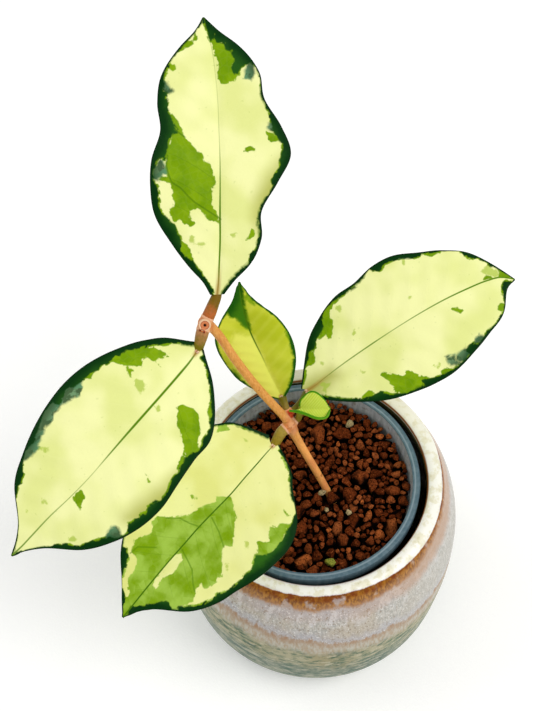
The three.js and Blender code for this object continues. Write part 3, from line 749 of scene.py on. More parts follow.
bladeForm = {
    # how far lighter green reaches beyond a dark patch
    "fringe": 0.3,
    # how far the outlined patches spread
    "spread": {"dark": 0.35, "clear": 0.3},
    "edgeThickness": 0.8, "edgeShare": 0.86, "keel": 0.0095, "keelWidth": 1.3, "tail": 6.0,
    # the shares of the length where the tip thins, and where the margin narrows, and to what
    "tipThins": ((0.93, 1), (1, 0.3)), "marginNarrows": ((0.72, 0.9), (1, 0.45)),
    "groove": 0.3, "grooveWidth": 1.1, "swell": 0.12, "fullLength": 90,
    # the side veins: their spacing, how they lean and bend, and the left ones' shift
    "veinGap": 8.5, "veinLean": 0.85, "veinBend": 0.012, "veinShift": 0.45,
    "edgeBevel": 0.24, "edgeAngle": 50, "stalkSides": 20, "seatGap": 0.3, "seatSink": 0.5,
    "glandSize": 0.55, "glandShape": (1.25, 0.85, 0.6), "rimSpots": 140,
    # how much closer the rows of a blade lie at its base and tip
    "crowding": 0.35,
}


def along(values, share):
    # the smooth line through the values at the stations
    values = np.array(values, float)
    gaps = np.diff(stations)
    rates = np.diff(values) / gaps
    slopes = np.empty(len(values))
    slopes[0], slopes[-1] = rates[0], rates[-1]
    slopes[1:-1] = (rates[:-1] * gaps[1:] + rates[1:] * gaps[:-1]) / (gaps[:-1] + gaps[1:])
    i = np.clip(np.searchsorted(stations, share, side="right") - 1, 0, len(gaps) - 1)
    f = (share - stations[i]) / gaps[i]
    return ((1 + 2 * f) * (1 - f) ** 2 * values[i] + f * (1 - f) ** 2 * gaps[i] * slopes[i]
            + f * f * (3 - 2 * f) * values[i + 1] + f * f * (f - 1) * gaps[i] * slopes[i + 1])


def bladeAxes(leaf):
    heading, climb, roll = (math.radians(leaf[key]) for key in ("heading", "climb", "roll"))
    forward = np.array([math.cos(climb) * math.cos(heading), math.cos(climb) * math.sin(heading),
                        math.sin(climb)])
    level = np.array([-math.sin(heading), math.cos(heading), 0])
    raised = np.cross(forward, level)
    left = math.cos(roll) * level + math.sin(roll) * raised
    return forward, left, np.cross(forward, left)


def bladeSurface(leaf, share, across, lift=0.0):
    # points on the blade's upper face, and their flat place along and across it
    onLeft = across > 0
    rib = along(leaf["rib"], share)
    half = np.where(onLeft, along(leaf["left"], share) - rib, along(leaf["right"], share) + rib)
    a = np.abs(across)
    size, waves, start, shift = leaf["ripple"]
    wave = size * a * a * np.sin(2 * np.pi * (waves * share + start + np.where(onLeft, shift, 0)))
    pick = lambda key: np.where(onLeft, leaf[key][0], leaf[key][1])
    curl = pick("curl")
    tight = np.maximum(curl, 1e-6)
    spread = np.where(curl > 0, np.sin(tight * a) / tight, a)
    rolledIn = np.where(curl > 0, (1 - np.cos(tight * a)) / tight, 0)
    height = (leaf["arch"] * 4 * share * (1 - share)
              + half * (rolledIn + pick("rise") * a * (1 - 0.55 * a * a))
              + wave * np.minimum(1, half / 12))
    forwards = share * leaf["length"] - pick("lobe") * a * a * np.exp(-leaf["lobe"][2] * share)
    lean = np.sign(across) * curl * a
    sideways = rib + np.sign(across) * half * spread
    forward, left, up = bladeAxes(leaf)
    points = (np.array(leaf["base"]) + forwards[:, None] * forward
              + (sideways - lift * np.sin(lean))[:, None] * left
              + (height + lift * np.cos(lean))[:, None] * up)
    flat = np.stack([forwards, rib + np.sign(across) * half * a], axis=1)
    return points, flat, rib


def insideBy(spots, outline):
    # how far each spot is inside the outline, in mm; negative outside
    corners = np.array(outline, float)
    nearest = np.full(len(spots), 99.0)
    inside = np.zeros(len(spots), bool)
    for a, b in zip(corners, np.roll(corners, -1, axis=0)):
        run = b - a
        offset = spots - a
        share = np.clip(offset @ run / max(run @ run, 1e-9), 0, 1)
        nearest = np.minimum(nearest, np.hypot(*(offset - share[:, None] * run).T))
        spans = (a[1] > spots[:, 1]) != (b[1] > spots[:, 1])
        meets = a[0] + (spots[:, 1] - a[1]) * run[0] / (run[1] if run[1] else 1e-9)
        inside ^= spans & (spots[:, 0] < meets)
    return np.where(inside, nearest, -nearest)


def besideBy(spots, lines):
    # distance to the nearest of some open lines, and the same with a sign for the side
    nearest = np.full(len(spots), 99.0)
    side = np.full(len(spots), 99.0)
    for line in lines:
        for a, b in zip(np.array(line, float), np.array(line, float)[1:]):
            run = b - a
            offset = spots - a
            share = np.clip(offset @ run / (run @ run), 0, 1)
            gap = np.hypot(*(offset - share[:, None] * run).T)
            signed = (run[0] * offset[:, 1] - run[1] * offset[:, 0]) / np.hypot(*run)
            closer = gap < nearest
            nearest = np.where(closer, gap, nearest)
            side = np.where(closer, signed, side)
    return nearest, side


def markBlade(piece, name, leaf, share, flat, rib):
    # what the leaf materials read: places, distances to the patches, the margin and the veins
    marks = patches[name]
    darkest = None
    for tint in ("dark", "mid", "faint", "clear", "shade"):
        best = np.full(len(flat), -20.0)
        for outline in marks.get(tint, []):
            best = np.maximum(best, insideBy(flat, outline) + bladeForm["spread"].get(tint, 0))
        if tint == "mid":
            for outline in marks.get("cream", []):
                best = np.minimum(best, -insideBy(flat, outline))
            best = np.maximum(best, darkest + bladeForm["fringe"])
        darkest = best if tint == "dark" else darkest
        keepValue(piece, tint + "Patch", best)
    walk = np.linspace(0, 1, bladeForm["rimSpots"])
    rims = [bladeSurface(leaf, walk, np.full(len(walk), side))[1] for side in (1.0, -1.0)]
    keepValue(piece, "marginGap", besideBy(flat, rims)[0])
    keepValue(piece, "marginScale", np.interp(share, *bladeForm["marginNarrows"]))
    keepValue(piece, "ribGap", np.abs(flat[:, 1] - rib))
    table = np.array(leaf["midrib"])
    keepValue(piece, "ribTone", np.interp(share, table[:, 0], table[:, 1]))
    keepValue(piece, "ribWidth", np.interp(share, table[:, 0], table[:, 2]))
    nearest, side = besideBy(flat, marks.get("vein", []))
    keepValue(piece, "veinGap", nearest)
    keepValue(piece, "veinSide", side)
    keepValue(piece, "flatPlace", np.column_stack([flat, np.zeros(len(flat))]))
    keepValue(piece, "veinPhase", veinPhase(leaf, flat, rib))
    keepValue(piece, "baseGap", flat[:, 0])


def veinPhase(leaf, flat, rib):
    # whole numbers lie along the side veins, which lean forward and then curve to the tip
    out = np.abs(flat[:, 1] - rib)
    shift = np.where(flat[:, 1] > rib, bladeForm["veinShift"], 0)
    gap = bladeForm["veinGap"] * min(1, leaf["length"] / bladeForm["fullLength"])
    return (flat[:, 0] - bladeForm["veinLean"] * out + bladeForm["veinBend"] * out * out) / gap + shift


def buildBlade(name, leaf):
    piece = addShape("grid", x_subdivisions=leaf["rows"], y_subdivisions=leaf["columns"], size=2)
    grid = places(piece) * mm
    even = (grid[:, 0] + 1) / 2
    crowded = bladeForm["crowding"] * (1 - np.cos(np.pi * even)) / 2
    share = np.clip((1 - bladeForm["crowding"]) * even + crowded, 0, 1)
    across = grid[:, 1]
    points, flat, rib = bladeSurface(leaf, share, across)
    markBlade(piece, name, leaf, share, flat, rib)
    up = bladeAxes(leaf)[2]
    ribGap = np.abs(flat[:, 1] - rib)
    ridge = np.exp(-(ribGap / bladeForm["grooveWidth"]) ** 2)
    a = np.abs(across)
    small = min(1, leaf["length"] / bladeForm["fullLength"])
    relief = (-bladeForm["groove"] * small * ridge
              + bladeForm["swell"] * np.cos(2 * np.pi * veinPhase(leaf, flat, rib)) * a * (1 - a) * 4)
    points += relief[:, None] * up * np.minimum(1, share * 8)[:, None]
    piece.data.vertices.foreach_set("co", (points * mm).ravel())
    piece.data.update()

    keel = bladeForm["keel"] * leaf["length"]
    most = leaf["thickness"] + keel
    edge = np.clip((a - bladeForm["edgeShare"]) / (1 - bladeForm["edgeShare"]), 0, 1)
    thick = (leaf["thickness"] + (bladeForm["edgeThickness"] - leaf["thickness"]) * edge
             + keel * (1 - share) * np.exp(-(ribGap / bladeForm["keelWidth"]) ** 2))
    thick *= np.interp(share, *bladeForm["tipThins"])
    group = piece.vertex_groups.new(name="thickness")
    for i, value in enumerate(thick / most):
        group.add([i], float(value), "REPLACE")
    count = len(piece.data.vertices)
    applyModifier(piece, "SOLIDIFY", thickness=most * mm, offset=-1, vertex_group="thickness",
                  thickness_vertex_group=0, use_quality_normals=True)
    underside = np.zeros(len(piece.data.vertices))
    underside[count:] = 1
    keepValue(piece, "underside", underside)
    applyModifier(piece, "BEVEL", width=bladeForm["edgeBevel"] * mm, segments=2,
                  limit_method="ANGLE", angle_limit=math.radians(bladeForm["edgeAngle"]))
    piece.vertex_groups.clear()
    return piece


def buildStalk(leaf):
    knuckle = knuckles[leaf["leaves"]]
    centre = np.array(knuckle["centre"])
    toward = unit(leaf["toward"])
    up = bladeAxes(leaf)[2]
    root, middle, end = leaf["stalk"]
    start = centre + toward * (leaf["seat"] - bladeForm["seatSink"])
    out = centre + toward * (leaf["seat"] + bladeForm["seatGap"] + 0.8)
    finish = np.array(leaf["base"]) - up * end
    halfway = (out + finish) / 2 - np.array([0, 0, leaf["sag"]])
    tail = bladeSurface(leaf, np.array([bladeForm["tail"] / leaf["length"]]), np.array([0.0]),
                        -leaf["thickness"] - 0.2)[0][0]
    line = smoothLine([(*start, root), (*out, root), (*halfway, middle), (*finish, end),
                       (*tail, 0.5)], 7)
    stalk = addTube(leaf["piece"] + "Stalk", line, bladeForm["stalkSides"])
    run = finish - start
    keepValue(stalk, "stalkShare", (places(stalk) - start) @ run / (run @ run))
    return stalk


def buildGland(leaf):
    # the pair of small glands where the petiole meets the blade
    forward, left, up = bladeAxes(leaf)
    size = bladeForm["glandSize"] * min(1, leaf["length"] / 60)
    turn = Matrix([list(v) for v in zip(forward, left, up)]).to_4x4()
    parts = []
    for side in (-1, 1):
        spot = np.array(leaf["base"]) + up * 0.15 + left * side * size * 0.75 - forward * 0.2
        bump = addShape("uv_sphere", segments=14, ring_count=8, radius=size * mm)
        bump.data.transform(Matrix.Translation(Vector(spot) * mm) @ turn
                            @ Matrix.Diagonal((*bladeForm["glandShape"], 1)))
        parts.append(bump)
    return joinAs("glands", *parts)


# leaf materials

# the colours of each leaf skin; shade is the colour of the painted shade where a blade turns from the
# light
leafTints = {
    "mature": {
        "pale": (243, 245, 174), "deep": (226, 232, 146), "green": (108, 148, 0),
        "greenLight": (134, 170, 6), "dark": (4, 50, 8), "darkLight": (34, 84, 18),
        "clear": (84, 136, 98), "margin": (6, 38, 12), "rib": (90, 132, 2),
        "veinDark": (72, 114, 2), "shade": (176, 180, 84), "faint": (176, 198, 78),
        "marginWidth": 1.0, "soft": 0.24, "rimShade": 1.0, "streak": 0.0,
    },
    "bright": {
        "pale": (239, 241, 164), "deep": (227, 229, 138), "green": (124, 162, 6),
        "greenLight": (170, 204, 84), "dark": (4, 50, 10), "darkLight": (44, 98, 20),
        "clear": (84, 136, 98), "margin": (6, 38, 12), "rib": (70, 114, 2),
        "veinDark": (86, 130, 8), "shade": (176, 180, 84), "faint": (184, 202, 86),
        "marginWidth": 0.9, "soft": 0.26, "rimShade": 1.0, "streak": 0.0,
    },
    "mellow": {
        "pale": (206, 214, 64), "deep": (180, 192, 34), "green": (112, 150, 8),
        "greenLight": (140, 172, 24), "dark": (26, 84, 4), "darkLight": (58, 112, 6),
        "clear": (224, 228, 100), "margin": (24, 80, 8), "rib": (70, 112, 4),
        "veinDark": (130, 152, 20), "shade": (150, 170, 20), "faint": (150, 172, 20),
        "marginWidth": 0.95, "soft": 0.5, "rimShade": 0.0, "streak": 0.14,
    },
    "fresh": {
        "pale": (194, 216, 58), "deep": (168, 196, 40), "green": (110, 160, 20),
        "greenLight": (160, 200, 50), "dark": (70, 148, 16), "darkLight": (96, 160, 24),
        "clear": (232, 240, 140), "margin": (60, 134, 14), "rib": (150, 182, 30),
        "veinDark": (140, 178, 30), "shade": (150, 180, 30), "faint": (150, 190, 40),
        "marginWidth": 0.75, "soft": 0.5, "rimShade": 0.0, "streak": 0.6,
    },
}


# the values on each blade that its skin reads
bladeMarks = ("darkPatch", "midPatch", "faintPatch", "clearPatch", "shadePatch", "marginGap",
              "marginScale", "ribGap", "ribTone", "ribWidth", "veinGap", "veinSide", "veinPhase",
              "underside")


def makeVariegationGroup():
    # cream, greens and margin from the distances that the blades carry
    inputs = {key: tone(*tint) if isinstance(tint, tuple) else tint
              for key, tint in leafTints["mature"].items()}
    inputs.update({key: 0.0 for key in bladeMarks})
    group, enter = makeGroup("variegation", {**inputs, "Place": (0, 0, 0)}, {"Color": 4, "Height": 1})
    at = enter["Place"]

    def edgeMask(distance, cell, reach, soft):
        return placeGroup(cellEdge, {"Distance": distance, "Place": at, "Cell": cell, "Reach": reach,
                                     "Soft": soft})["Mask"]

    # veins that lean off the midrib, and the net between them
    fromVein = abs(work("FRACT", enter["veinPhase"]) - 0.5)
    sideVein = fade(fromVein, 0.47, 0.5) * fade(enter["marginGap"], 1.5, 9.0)
    net = addNode("ShaderNodeTexVoronoi", {"Vector": at, "Scale": 0.42}, output="Distance",
                  feature="DISTANCE_TO_EDGE", voronoi_dimensions="2D")
    netLine = fade(net, 0.16, 0.0)
    broad = speckle(at, 0.045, 2.0)
    blocks = addNode("ShaderNodeTexVoronoi", {"Vector": at, "Scale": 0.28}, output="Color",
                     voronoi_dimensions="2D")
    block = addNode("ShaderNodeSeparateColor", {0: blocks})

    color = blendColor(fade(broad, 0.4, 0.68), enter["pale"], enter["deep"])
    color = blendColor(sideVein * 0.12, color, enter["pale"])
    # pale streaks between the side veins of young leaves, and painted shade, a darker olive, where a
    # blade turns from the light
    wisps = fromVein + speckle(at, 0.5, 2.0) * 0.3
    wisps = fade(wisps, 0.3, 0.64) * enter["streak"]
    color = coatOver(color, (wisps, enter["clear"]),
                     (fade(enter["shadePatch"], -6.0, 2.5, 0.9), enter["shade"]),
                     (fade(speckle(at, 0.55, 1.0), 0.7, 0.78, 0.14), enter["green"]))

    cloud = block * 0.14 + speckle(at, 0.12, 3.0)
    leafGreen = blendColor(fade(cloud, 0.4, 0.74, 0.8), enter["green"], enter["greenLight"])
    leafGreen = coatOver(leafGreen, (netLine * 0.015, enter["pale"]),
                         (sideVein * 0.3, enter["veinDark"]))
    faint = edgeMask(enter["faintPatch"], 0.7, 0.8, enter["soft"] * 1.6)
    mid = edgeMask(enter["midPatch"], 0.7, 0.8, enter["soft"])
    color = coatOver(color, (faint * 0.85, enter["faint"]), (mid, leafGreen))

    clear = edgeMask(enter["clearPatch"], 0.5, 0.9, enter["soft"] * 3.0)
    clearTint = blendColor(fade(block, 0.1, 0.9, 0.08), enter["clear"], enter["pale"])
    nearRim = fade(enter["marginGap"] - enter["soft"], 5.5, 0.8, 0.75)
    cells = fade(speckle(at, 0.36, 2.0) + block * 0.12, 0.5, 0.64, 0.75)
    clearTint = blendColor(work("MAXIMUM", nearRim, cells) * enter["rimShade"], clearTint, enter["dark"])
    color = blendColor(clear * 0.97, color, clearTint)

    # the dark border round the blade widens and narrows, with a softer green inside it
    swing = fade(speckle(at, 0.06, 2.0), 0.36, 0.66, 1.25, 0.4)
    widest = enter["marginWidth"] * enter["marginScale"]
    ragged = (block - 0.5) * 0.55 + (speckle(at, 0.6, 2.0) - 0.5) * 1.2
    share = enter["marginGap"] / (swing * widest) + ragged
    halo = blendColor(0.7, leafGreen, enter["darkLight"])
    free = clear * enter["rimShade"] * -0.9 + 1.0
    color = blendColor(fade(share, 1.9, 1.0, 0.75) * free, color, halo)
    dark = edgeMask(enter["darkPatch"], 0.6, 1.0, enter["soft"] * 1.5)
    border = fade(share, 1.2, 0.75)
    inward = enter["marginGap"] + cloud * 4.0
    darkGreen = blendColor(fade(inward, 3.2, 7.5), enter["dark"], enter["darkLight"])
    color = blendColor(work("MAXIMUM", dark, border), color, darkGreen)

    # midrib and the dark veins of the green patches
    ribEdge = enter["ribWidth"] * 0.34
    ribLine = enter["ribTone"] * fade(enter["ribGap"] / (ribEdge + 0.01), 1.3, 0.6)
    color = blendColor(ribLine, color, enter["rib"])
    veinLine = fade(abs(enter["veinSide"]), 0.42, 0.15) * fade(enter["veinGap"], 1.2, 0.6)
    color = blendColor(veinLine * 0.6, color, enter["veinDark"])

    outermost = enter["marginGap"] / (widest + 0.2)
    color = blendColor(fade(outermost, 0.6, 0.15, 0.9), color, enter["margin"])

    # the underside is duller and paler
    color = blendColor(enter["underside"] * 0.6, color, blendColor(0.45, color, enter["greenLight"]))
    height = netLine * work("MAXIMUM", mid, dark) * -0.03 + sideVein * -0.15
    return closeGroup(group, Color=color, Height=speckle(at, 0.7, 3.0) * 0.9 + height)


variegation = makeVariegationGroup()


def makeLeafSkin(kind, tints):
    material = startMaterial(kind + "LeafSkin", Roughness=0.42, IOR=1.45, Specular_IOR_Level=0.07)
    at = readValue("flatPlace", "Vector")
    marks = {key: readValue(key) for key in bladeMarks}
    values = {key: tone(*tint) if isinstance(tint, tuple) else tint for key, tint in tints.items()}
    skin = placeGroup(variegation, {**values, **marks, "Place": at})
    # the brown blush that climbs from the petiole
    blush = fade(readValue("baseGap"), readValue("blushReach"), 0.5) * fade(marks["ribGap"], 1.4, 0.2)
    color = blendColor(blush * 0.7, skin["Color"], tone(170, 118, 48))
    return finishMaterial(material, color, skin["Height"], 0.00012,
                          Roughness=fade(speckle(at, 0.5, 2.0), 0.2, 0.8, 0.52, 0.36))


def makeStalkSkin(name, root, end):
    material = startMaterial(name, Roughness=0.4, IOR=1.45, Specular_IOR_Level=0.16)
    at = objectPlace()
    blotches = (speckle(at, 380.0) - 0.5) * 0.7
    color = blendColor(fade(readValue("stalkShare") + blotches, 0.1, 0.7), tone(*root), tone(*end))
    color = blendColor(fade(speckle(at, 1100.0), 0.4, 0.7, 0.3), color, tone(104, 84, 14))
    color, grain = grainOver(color, at, 2500.0, 0.08)
    return finishMaterial(material, color, grain, 0.0001)


def makeGlandSkin():
    material = startMaterial("glandSkin", Roughness=0.35)
    spots = fade(speckle(objectPlace(), 2200.0), 0.4, 0.65)
    color = blendColor(spots, tone(230, 200, 162), tone(178, 108, 70))
    return finishMaterial(material, color, spots, 0.00005)


skins = {kind: makeLeafSkin(kind, tints) for kind, tints in leafTints.items()}
glandSkin = makeGlandSkin()

for leafName, leaf in leaves.items():
    blade = buildBlade(leafName, leaf)
    keepValue(blade, "blushReach", leaf["blush"])
    blade.data.materials.append(skins[leaf["skin"]])
    stalk = buildStalk(leaf)
    stalk.data.materials.append(makeStalkSkin(leaf["piece"] + "StalkSkin", *leaf["stalkColors"]))
    parts = [blade, stalk]
    if leaf["glands"]:
        parts.append(buildGland(leaf))
        parts[-1].data.materials.append(glandSkin)
    standIn(joinAs(leaf["piece"], *parts), "leaf_" + leafName)

# stem

stemForm = {
    "line": [(14.4, -11.4, 72, 1.4), (8.4, -5.6, 86, 1.6), (5.0, -2.4, 94.5, 1.6),
             (1.1, 0.8, 105, 1.65), (-3.4, 4.8, 115.5, 1.7), (-7.3, 8.6, 124.5, 1.9),
             (-9.1, 11.0, 129, 2.5), (-10.7, 12.2, 132.6, 1.9), (-14.5, 13.9, 139, 1.75),
             (-21.9, 17.0, 152.2, 1.75), (-28.7, 20.4, 166.5, 1.75), (-33.2, 22.1, 179.2, 1.75),
             (-35.9, 22.6, 185.2, 1.9), (-37.9, 22.6, 188, 2.5)],
    "cutToward": (0.03, -0.72, 0.69), "cutReach": 4.1, "cutRadius": 2.2,
    "scarCentre": (-38.8, 18.7, 188.9), "scarToward": (-0.36, -0.74, 0.1),
    "markPlaces": [36.0, 39.5, 66.5, 69.0, 73.0, 86.0, 101.5],
    # the cut face and the leaf scar below it, turned: radius, and height over its seat; the scar
    # is a low mound inside a dark ring
    "cutProfile": [(0.02, -0.75), (0.28, -0.7), (0.42, -0.35), (0.52, -0.08), (0.9, 0.0),
                   (1.38, -0.02), (1.5, -0.12), (1.62, -0.02), (1.95, 0.02), (2.12, -0.06),
                   (2.2, -0.3), (2.2, -1.4)],
    "scarProfile": [(0.02, 0.42), (0.3, 0.38), (0.55, 0.16), (0.7, 0.06), (0.85, 0.26), (1.05, 0.36),
                    (1.22, 0.22), (1.3, -0.1), (1.3, -1.0)],
    "voxel": 0.24, "smoothing": 4, "collarReach": 1.2, "far": 9.0,
}


def turnTo(piece, spot, toward):
    # sets a shape made upright at the origin on a spot, facing a direction
    turn = Vector(toward).to_track_quat("Z", "Y").to_matrix().to_4x4()
    piece.data.transform(Matrix.Translation(Vector(spot) * mm) @ turn)


def buildStem():
    line = smoothLine(stemForm["line"], 8)
    parts = [addTube("stem", line, 20)]
    for knuckle in knuckles.values():
        spot = tuple(c * mm for c in knuckle["centre"])
        parts.append(addShape("uv_sphere", segments=24, ring_count=14, radius=knuckle["radius"] * mm,
                              location=spot))
        bpy.ops.object.transform_apply(location=True, rotation=True, scale=True)
    lower, side = (np.array(knuckles[key]["centre"]) for key in ("lowerKnuckle", "sideBud"))
    parts.append(addTube("sideBud", [(*lower, 2.0), (*side, 1.8)]))
    for leaf in leaves.values():
        knuckle = knuckles[leaf["leaves"]]
        centre = np.array(knuckle["centre"])
        toward = unit(leaf["toward"])
        wide = leaf["stalk"][0] + knuckle["collar"]
        finish = centre + toward * (leaf["seat"] - 0.3)
        lip = centre + toward * leaf["seat"]
        parts.append(addTube("collar", [(*centre, leaf["stalk"][0]), (*finish, wide),
                                        (*lip, wide - 0.2)]))
    centre = np.array(knuckles["upperKnuckle"]["centre"])
    toward = unit(stemForm["cutToward"])
    wide = stemForm["cutRadius"]
    parts.append(addTube("stub", [(*centre, wide * 1.15),
                                  (*(centre + toward * (stemForm["cutReach"] - 0.9)), wide)]))
    stem = joinAs("stemWood", *parts)
    applyModifier(stem, "REMESH", mode="VOXEL", voxel_size=stemForm["voxel"] * mm)
    applyModifier(stem, "SMOOTH", factor=0.6, iterations=stemForm["smoothing"])
    # how far each spot is from the knuckles, the collars' rims, the side bud and the old leaf marks
    at = places(stem)
    gaps = {key: np.linalg.norm(at - np.array(k["centre"]), axis=1) for key, k in knuckles.items()}
    keepValue(stem, "knuckleGap", np.min(list(gaps.values()), axis=0))
    keepValue(stem, "budGap", gaps["sideBud"])
    rims = np.full(len(at), stemForm["far"])
    for leaf in leaves.values():
        if leaf["leaves"] == "sideBud":
            continue
        face = unit(leaf["toward"])
        offset = at - np.array(knuckles[leaf["leaves"]]["centre"])
        ahead = offset @ face
        aside = np.linalg.norm(offset - ahead[:, None] * face, axis=1)
        onCollar = aside < leaf["stalk"][0] + stemForm["collarReach"]
        rims = np.minimum(rims, np.where(onCollar, np.abs(ahead - leaf["seat"] + 0.5), stemForm["far"]))
    keepValue(stem, "rimGap", rims)
    walk = np.concatenate([[0], np.cumsum(np.linalg.norm(np.diff(line[:, :3], axis=0), axis=1))])
    nearest = np.argmin(np.linalg.norm(at[:, None] - line[None, :, :3], axis=2), axis=1)
    marks = np.abs(walk[nearest][:, None] - np.array(stemForm["markPlaces"])[None])
    keepValue(stem, "markGap", marks.min(axis=1))
    keepValue(stem, "heightUp", at[:, 2])

    faces = [("cutRadius", stemForm["cutProfile"], 40, centre + toward * stemForm["cutReach"], toward),
             ("scarRadius", stemForm["scarProfile"], 28, stemForm["scarCentre"], stemForm["scarToward"])]
    far = stemForm["far"]
    plain = {"knuckleGap": 0, "rimGap": far, "markGap": far, "budGap": 60, "heightUp": 188,
             "cutRadius": far, "scarRadius": far}
    parts = [stem]
    for name, profile, sides, spot, facing in faces:
        keepValue(stem, name, far)
        face = addRings(name, profile, sides)
        for key, value in {**plain, name: np.hypot(*places(face)[:, :2].T)}.items():
            keepValue(face, key, value)
        turnTo(face, spot, facing)
        parts.append(face)
    return joinAs("stemWood", *parts)


def makeStemSkin():
    material = startMaterial("stemBark", Roughness=0.48, IOR=1.45, Specular_IOR_Level=0.18)
    at = objectPlace()
    lean = addNode("ShaderNodeMapping", {"Vector": at, "Rotation": (0.0, math.radians(-35), 0.0),
                                         "Scale": (1.0, 1.0, 0.16)})
    fibres = speckle(lean, 1500.0, 4.0, 0.6)
    color = blendColor(fade(fibres, 0.3, 0.7), tone(234, 170, 92), tone(214, 142, 66))
    pink = blendColor(fade(speckle(at, 420.0), 0.35, 0.65), tone(232, 168, 122), tone(208, 122, 72))
    orange = blendColor(fade(speckle(at, 700.0), 0.4, 0.7), tone(200, 62, 20), tone(232, 120, 66))
    marks = fade(readValue("markGap"), 0.35, 0.1) * fade(speckle(at, 500.0, 2.0), 0.48, 0.56, 0.75)
    color = coatOver(color,
                     (fade(readValue("heightUp"), 128.0, 118.0, 0.75), tone(252, 174, 96)),
                     (fade(speckle(lean, 260.0, 2.0), 0.5, 0.7, 0.5), tone(222, 132, 84)),
                     (fade(readValue("knuckleGap"), 5.2, 2.6) * 0.8, pink),
                     (fade(speckle(at, 620.0, 2.0), 0.66, 0.74, 0.55), tone(160, 84, 36)),
                     (marks, tone(140, 62, 22)),
                     (fade(readValue("rimGap"), 0.55, 0.2, 0.7), tone(238, 190, 156)),
                     (fade(readValue("budGap"), 2.8, 2.1), orange))
    # the cut face: dark pith, orange wood, a thin dark ring and pale bark
    cut = readValue("cutRadius")
    face = rampColor(cut / 2.5, [(0.0, (24, 12, 8)), (0.17, (40, 20, 10)), (0.23, (206, 120, 72)),
                                 (0.5, (214, 132, 84)), (0.6, (172, 78, 40)), (0.67, (238, 198, 160)),
                                 (0.86, (232, 190, 150)), (0.95, (214, 150, 100))])
    scar = readValue("scarRadius")
    scarTint = blendColor(fade(scar, 0.4, 0.62), tone(228, 122, 66), tone(138, 36, 12))
    scarTint = blendColor(fade(scar, 1.08, 1.25), scarTint, tone(214, 136, 92))
    color = coatOver(color, (fade(cut, 2.9, 2.6), face), (fade(scar, 1.8, 1.6), scarTint))
    color, grain = grainOver(color, at, 1800.0, 0.1)
    return finishMaterial(material, color, grain + fibres * 1.4, 0.00025)


stem = buildStem()
stem.data.materials.append(makeStemSkin())
standIn(stem, "main_stem", 60)

# cover pot

coverPotForm = {
    # radius and height of the wall, from the foot up the outside and down the inside to the floor
    "outside": [(46, 0), (54.5, 5.5), (59.9, 17), (61.9, 38), (62.5, 56), (61.3, 76), (58.3, 89),
                (54.5, 98.5), (53.2, 102), (51.7, 103.3), (49.3, 104), (47.1, 103.1), (46.6, 101)],
    "inside": [(47.2, 96), (53.6, 84), (56, 56), (53.5, 26), (44, 11.5), (40, 8)],
    "foot": [(38.5, 1.6), (40, 0.0)],
    "sides": 160, "steps": 6,
    # where the glazes meet, in millimetres up the wall, and the way in which they run lower
    "amber": (96.8, 103.4), "grey": 72.0, "beige": 60.0, "moss": 36.0,
    "lean": (-0.866, -0.5), "leanRise": 10.5,
    # the radius at the top of the lip, and the height of the brown line inside the mouth
    "mouth": 49.3, "mouthLine": 102.5,
}


def buildCoverPot():
    form = coverPotForm
    wall = smoothLine(form["outside"] + form["inside"], form["steps"])
    profile = [(0.5, 1.8)] + form["foot"] + [tuple(p) for p in wall] + [(0.5, form["inside"][-1][1])]
    return addRings("coverPot", profile, form["sides"])


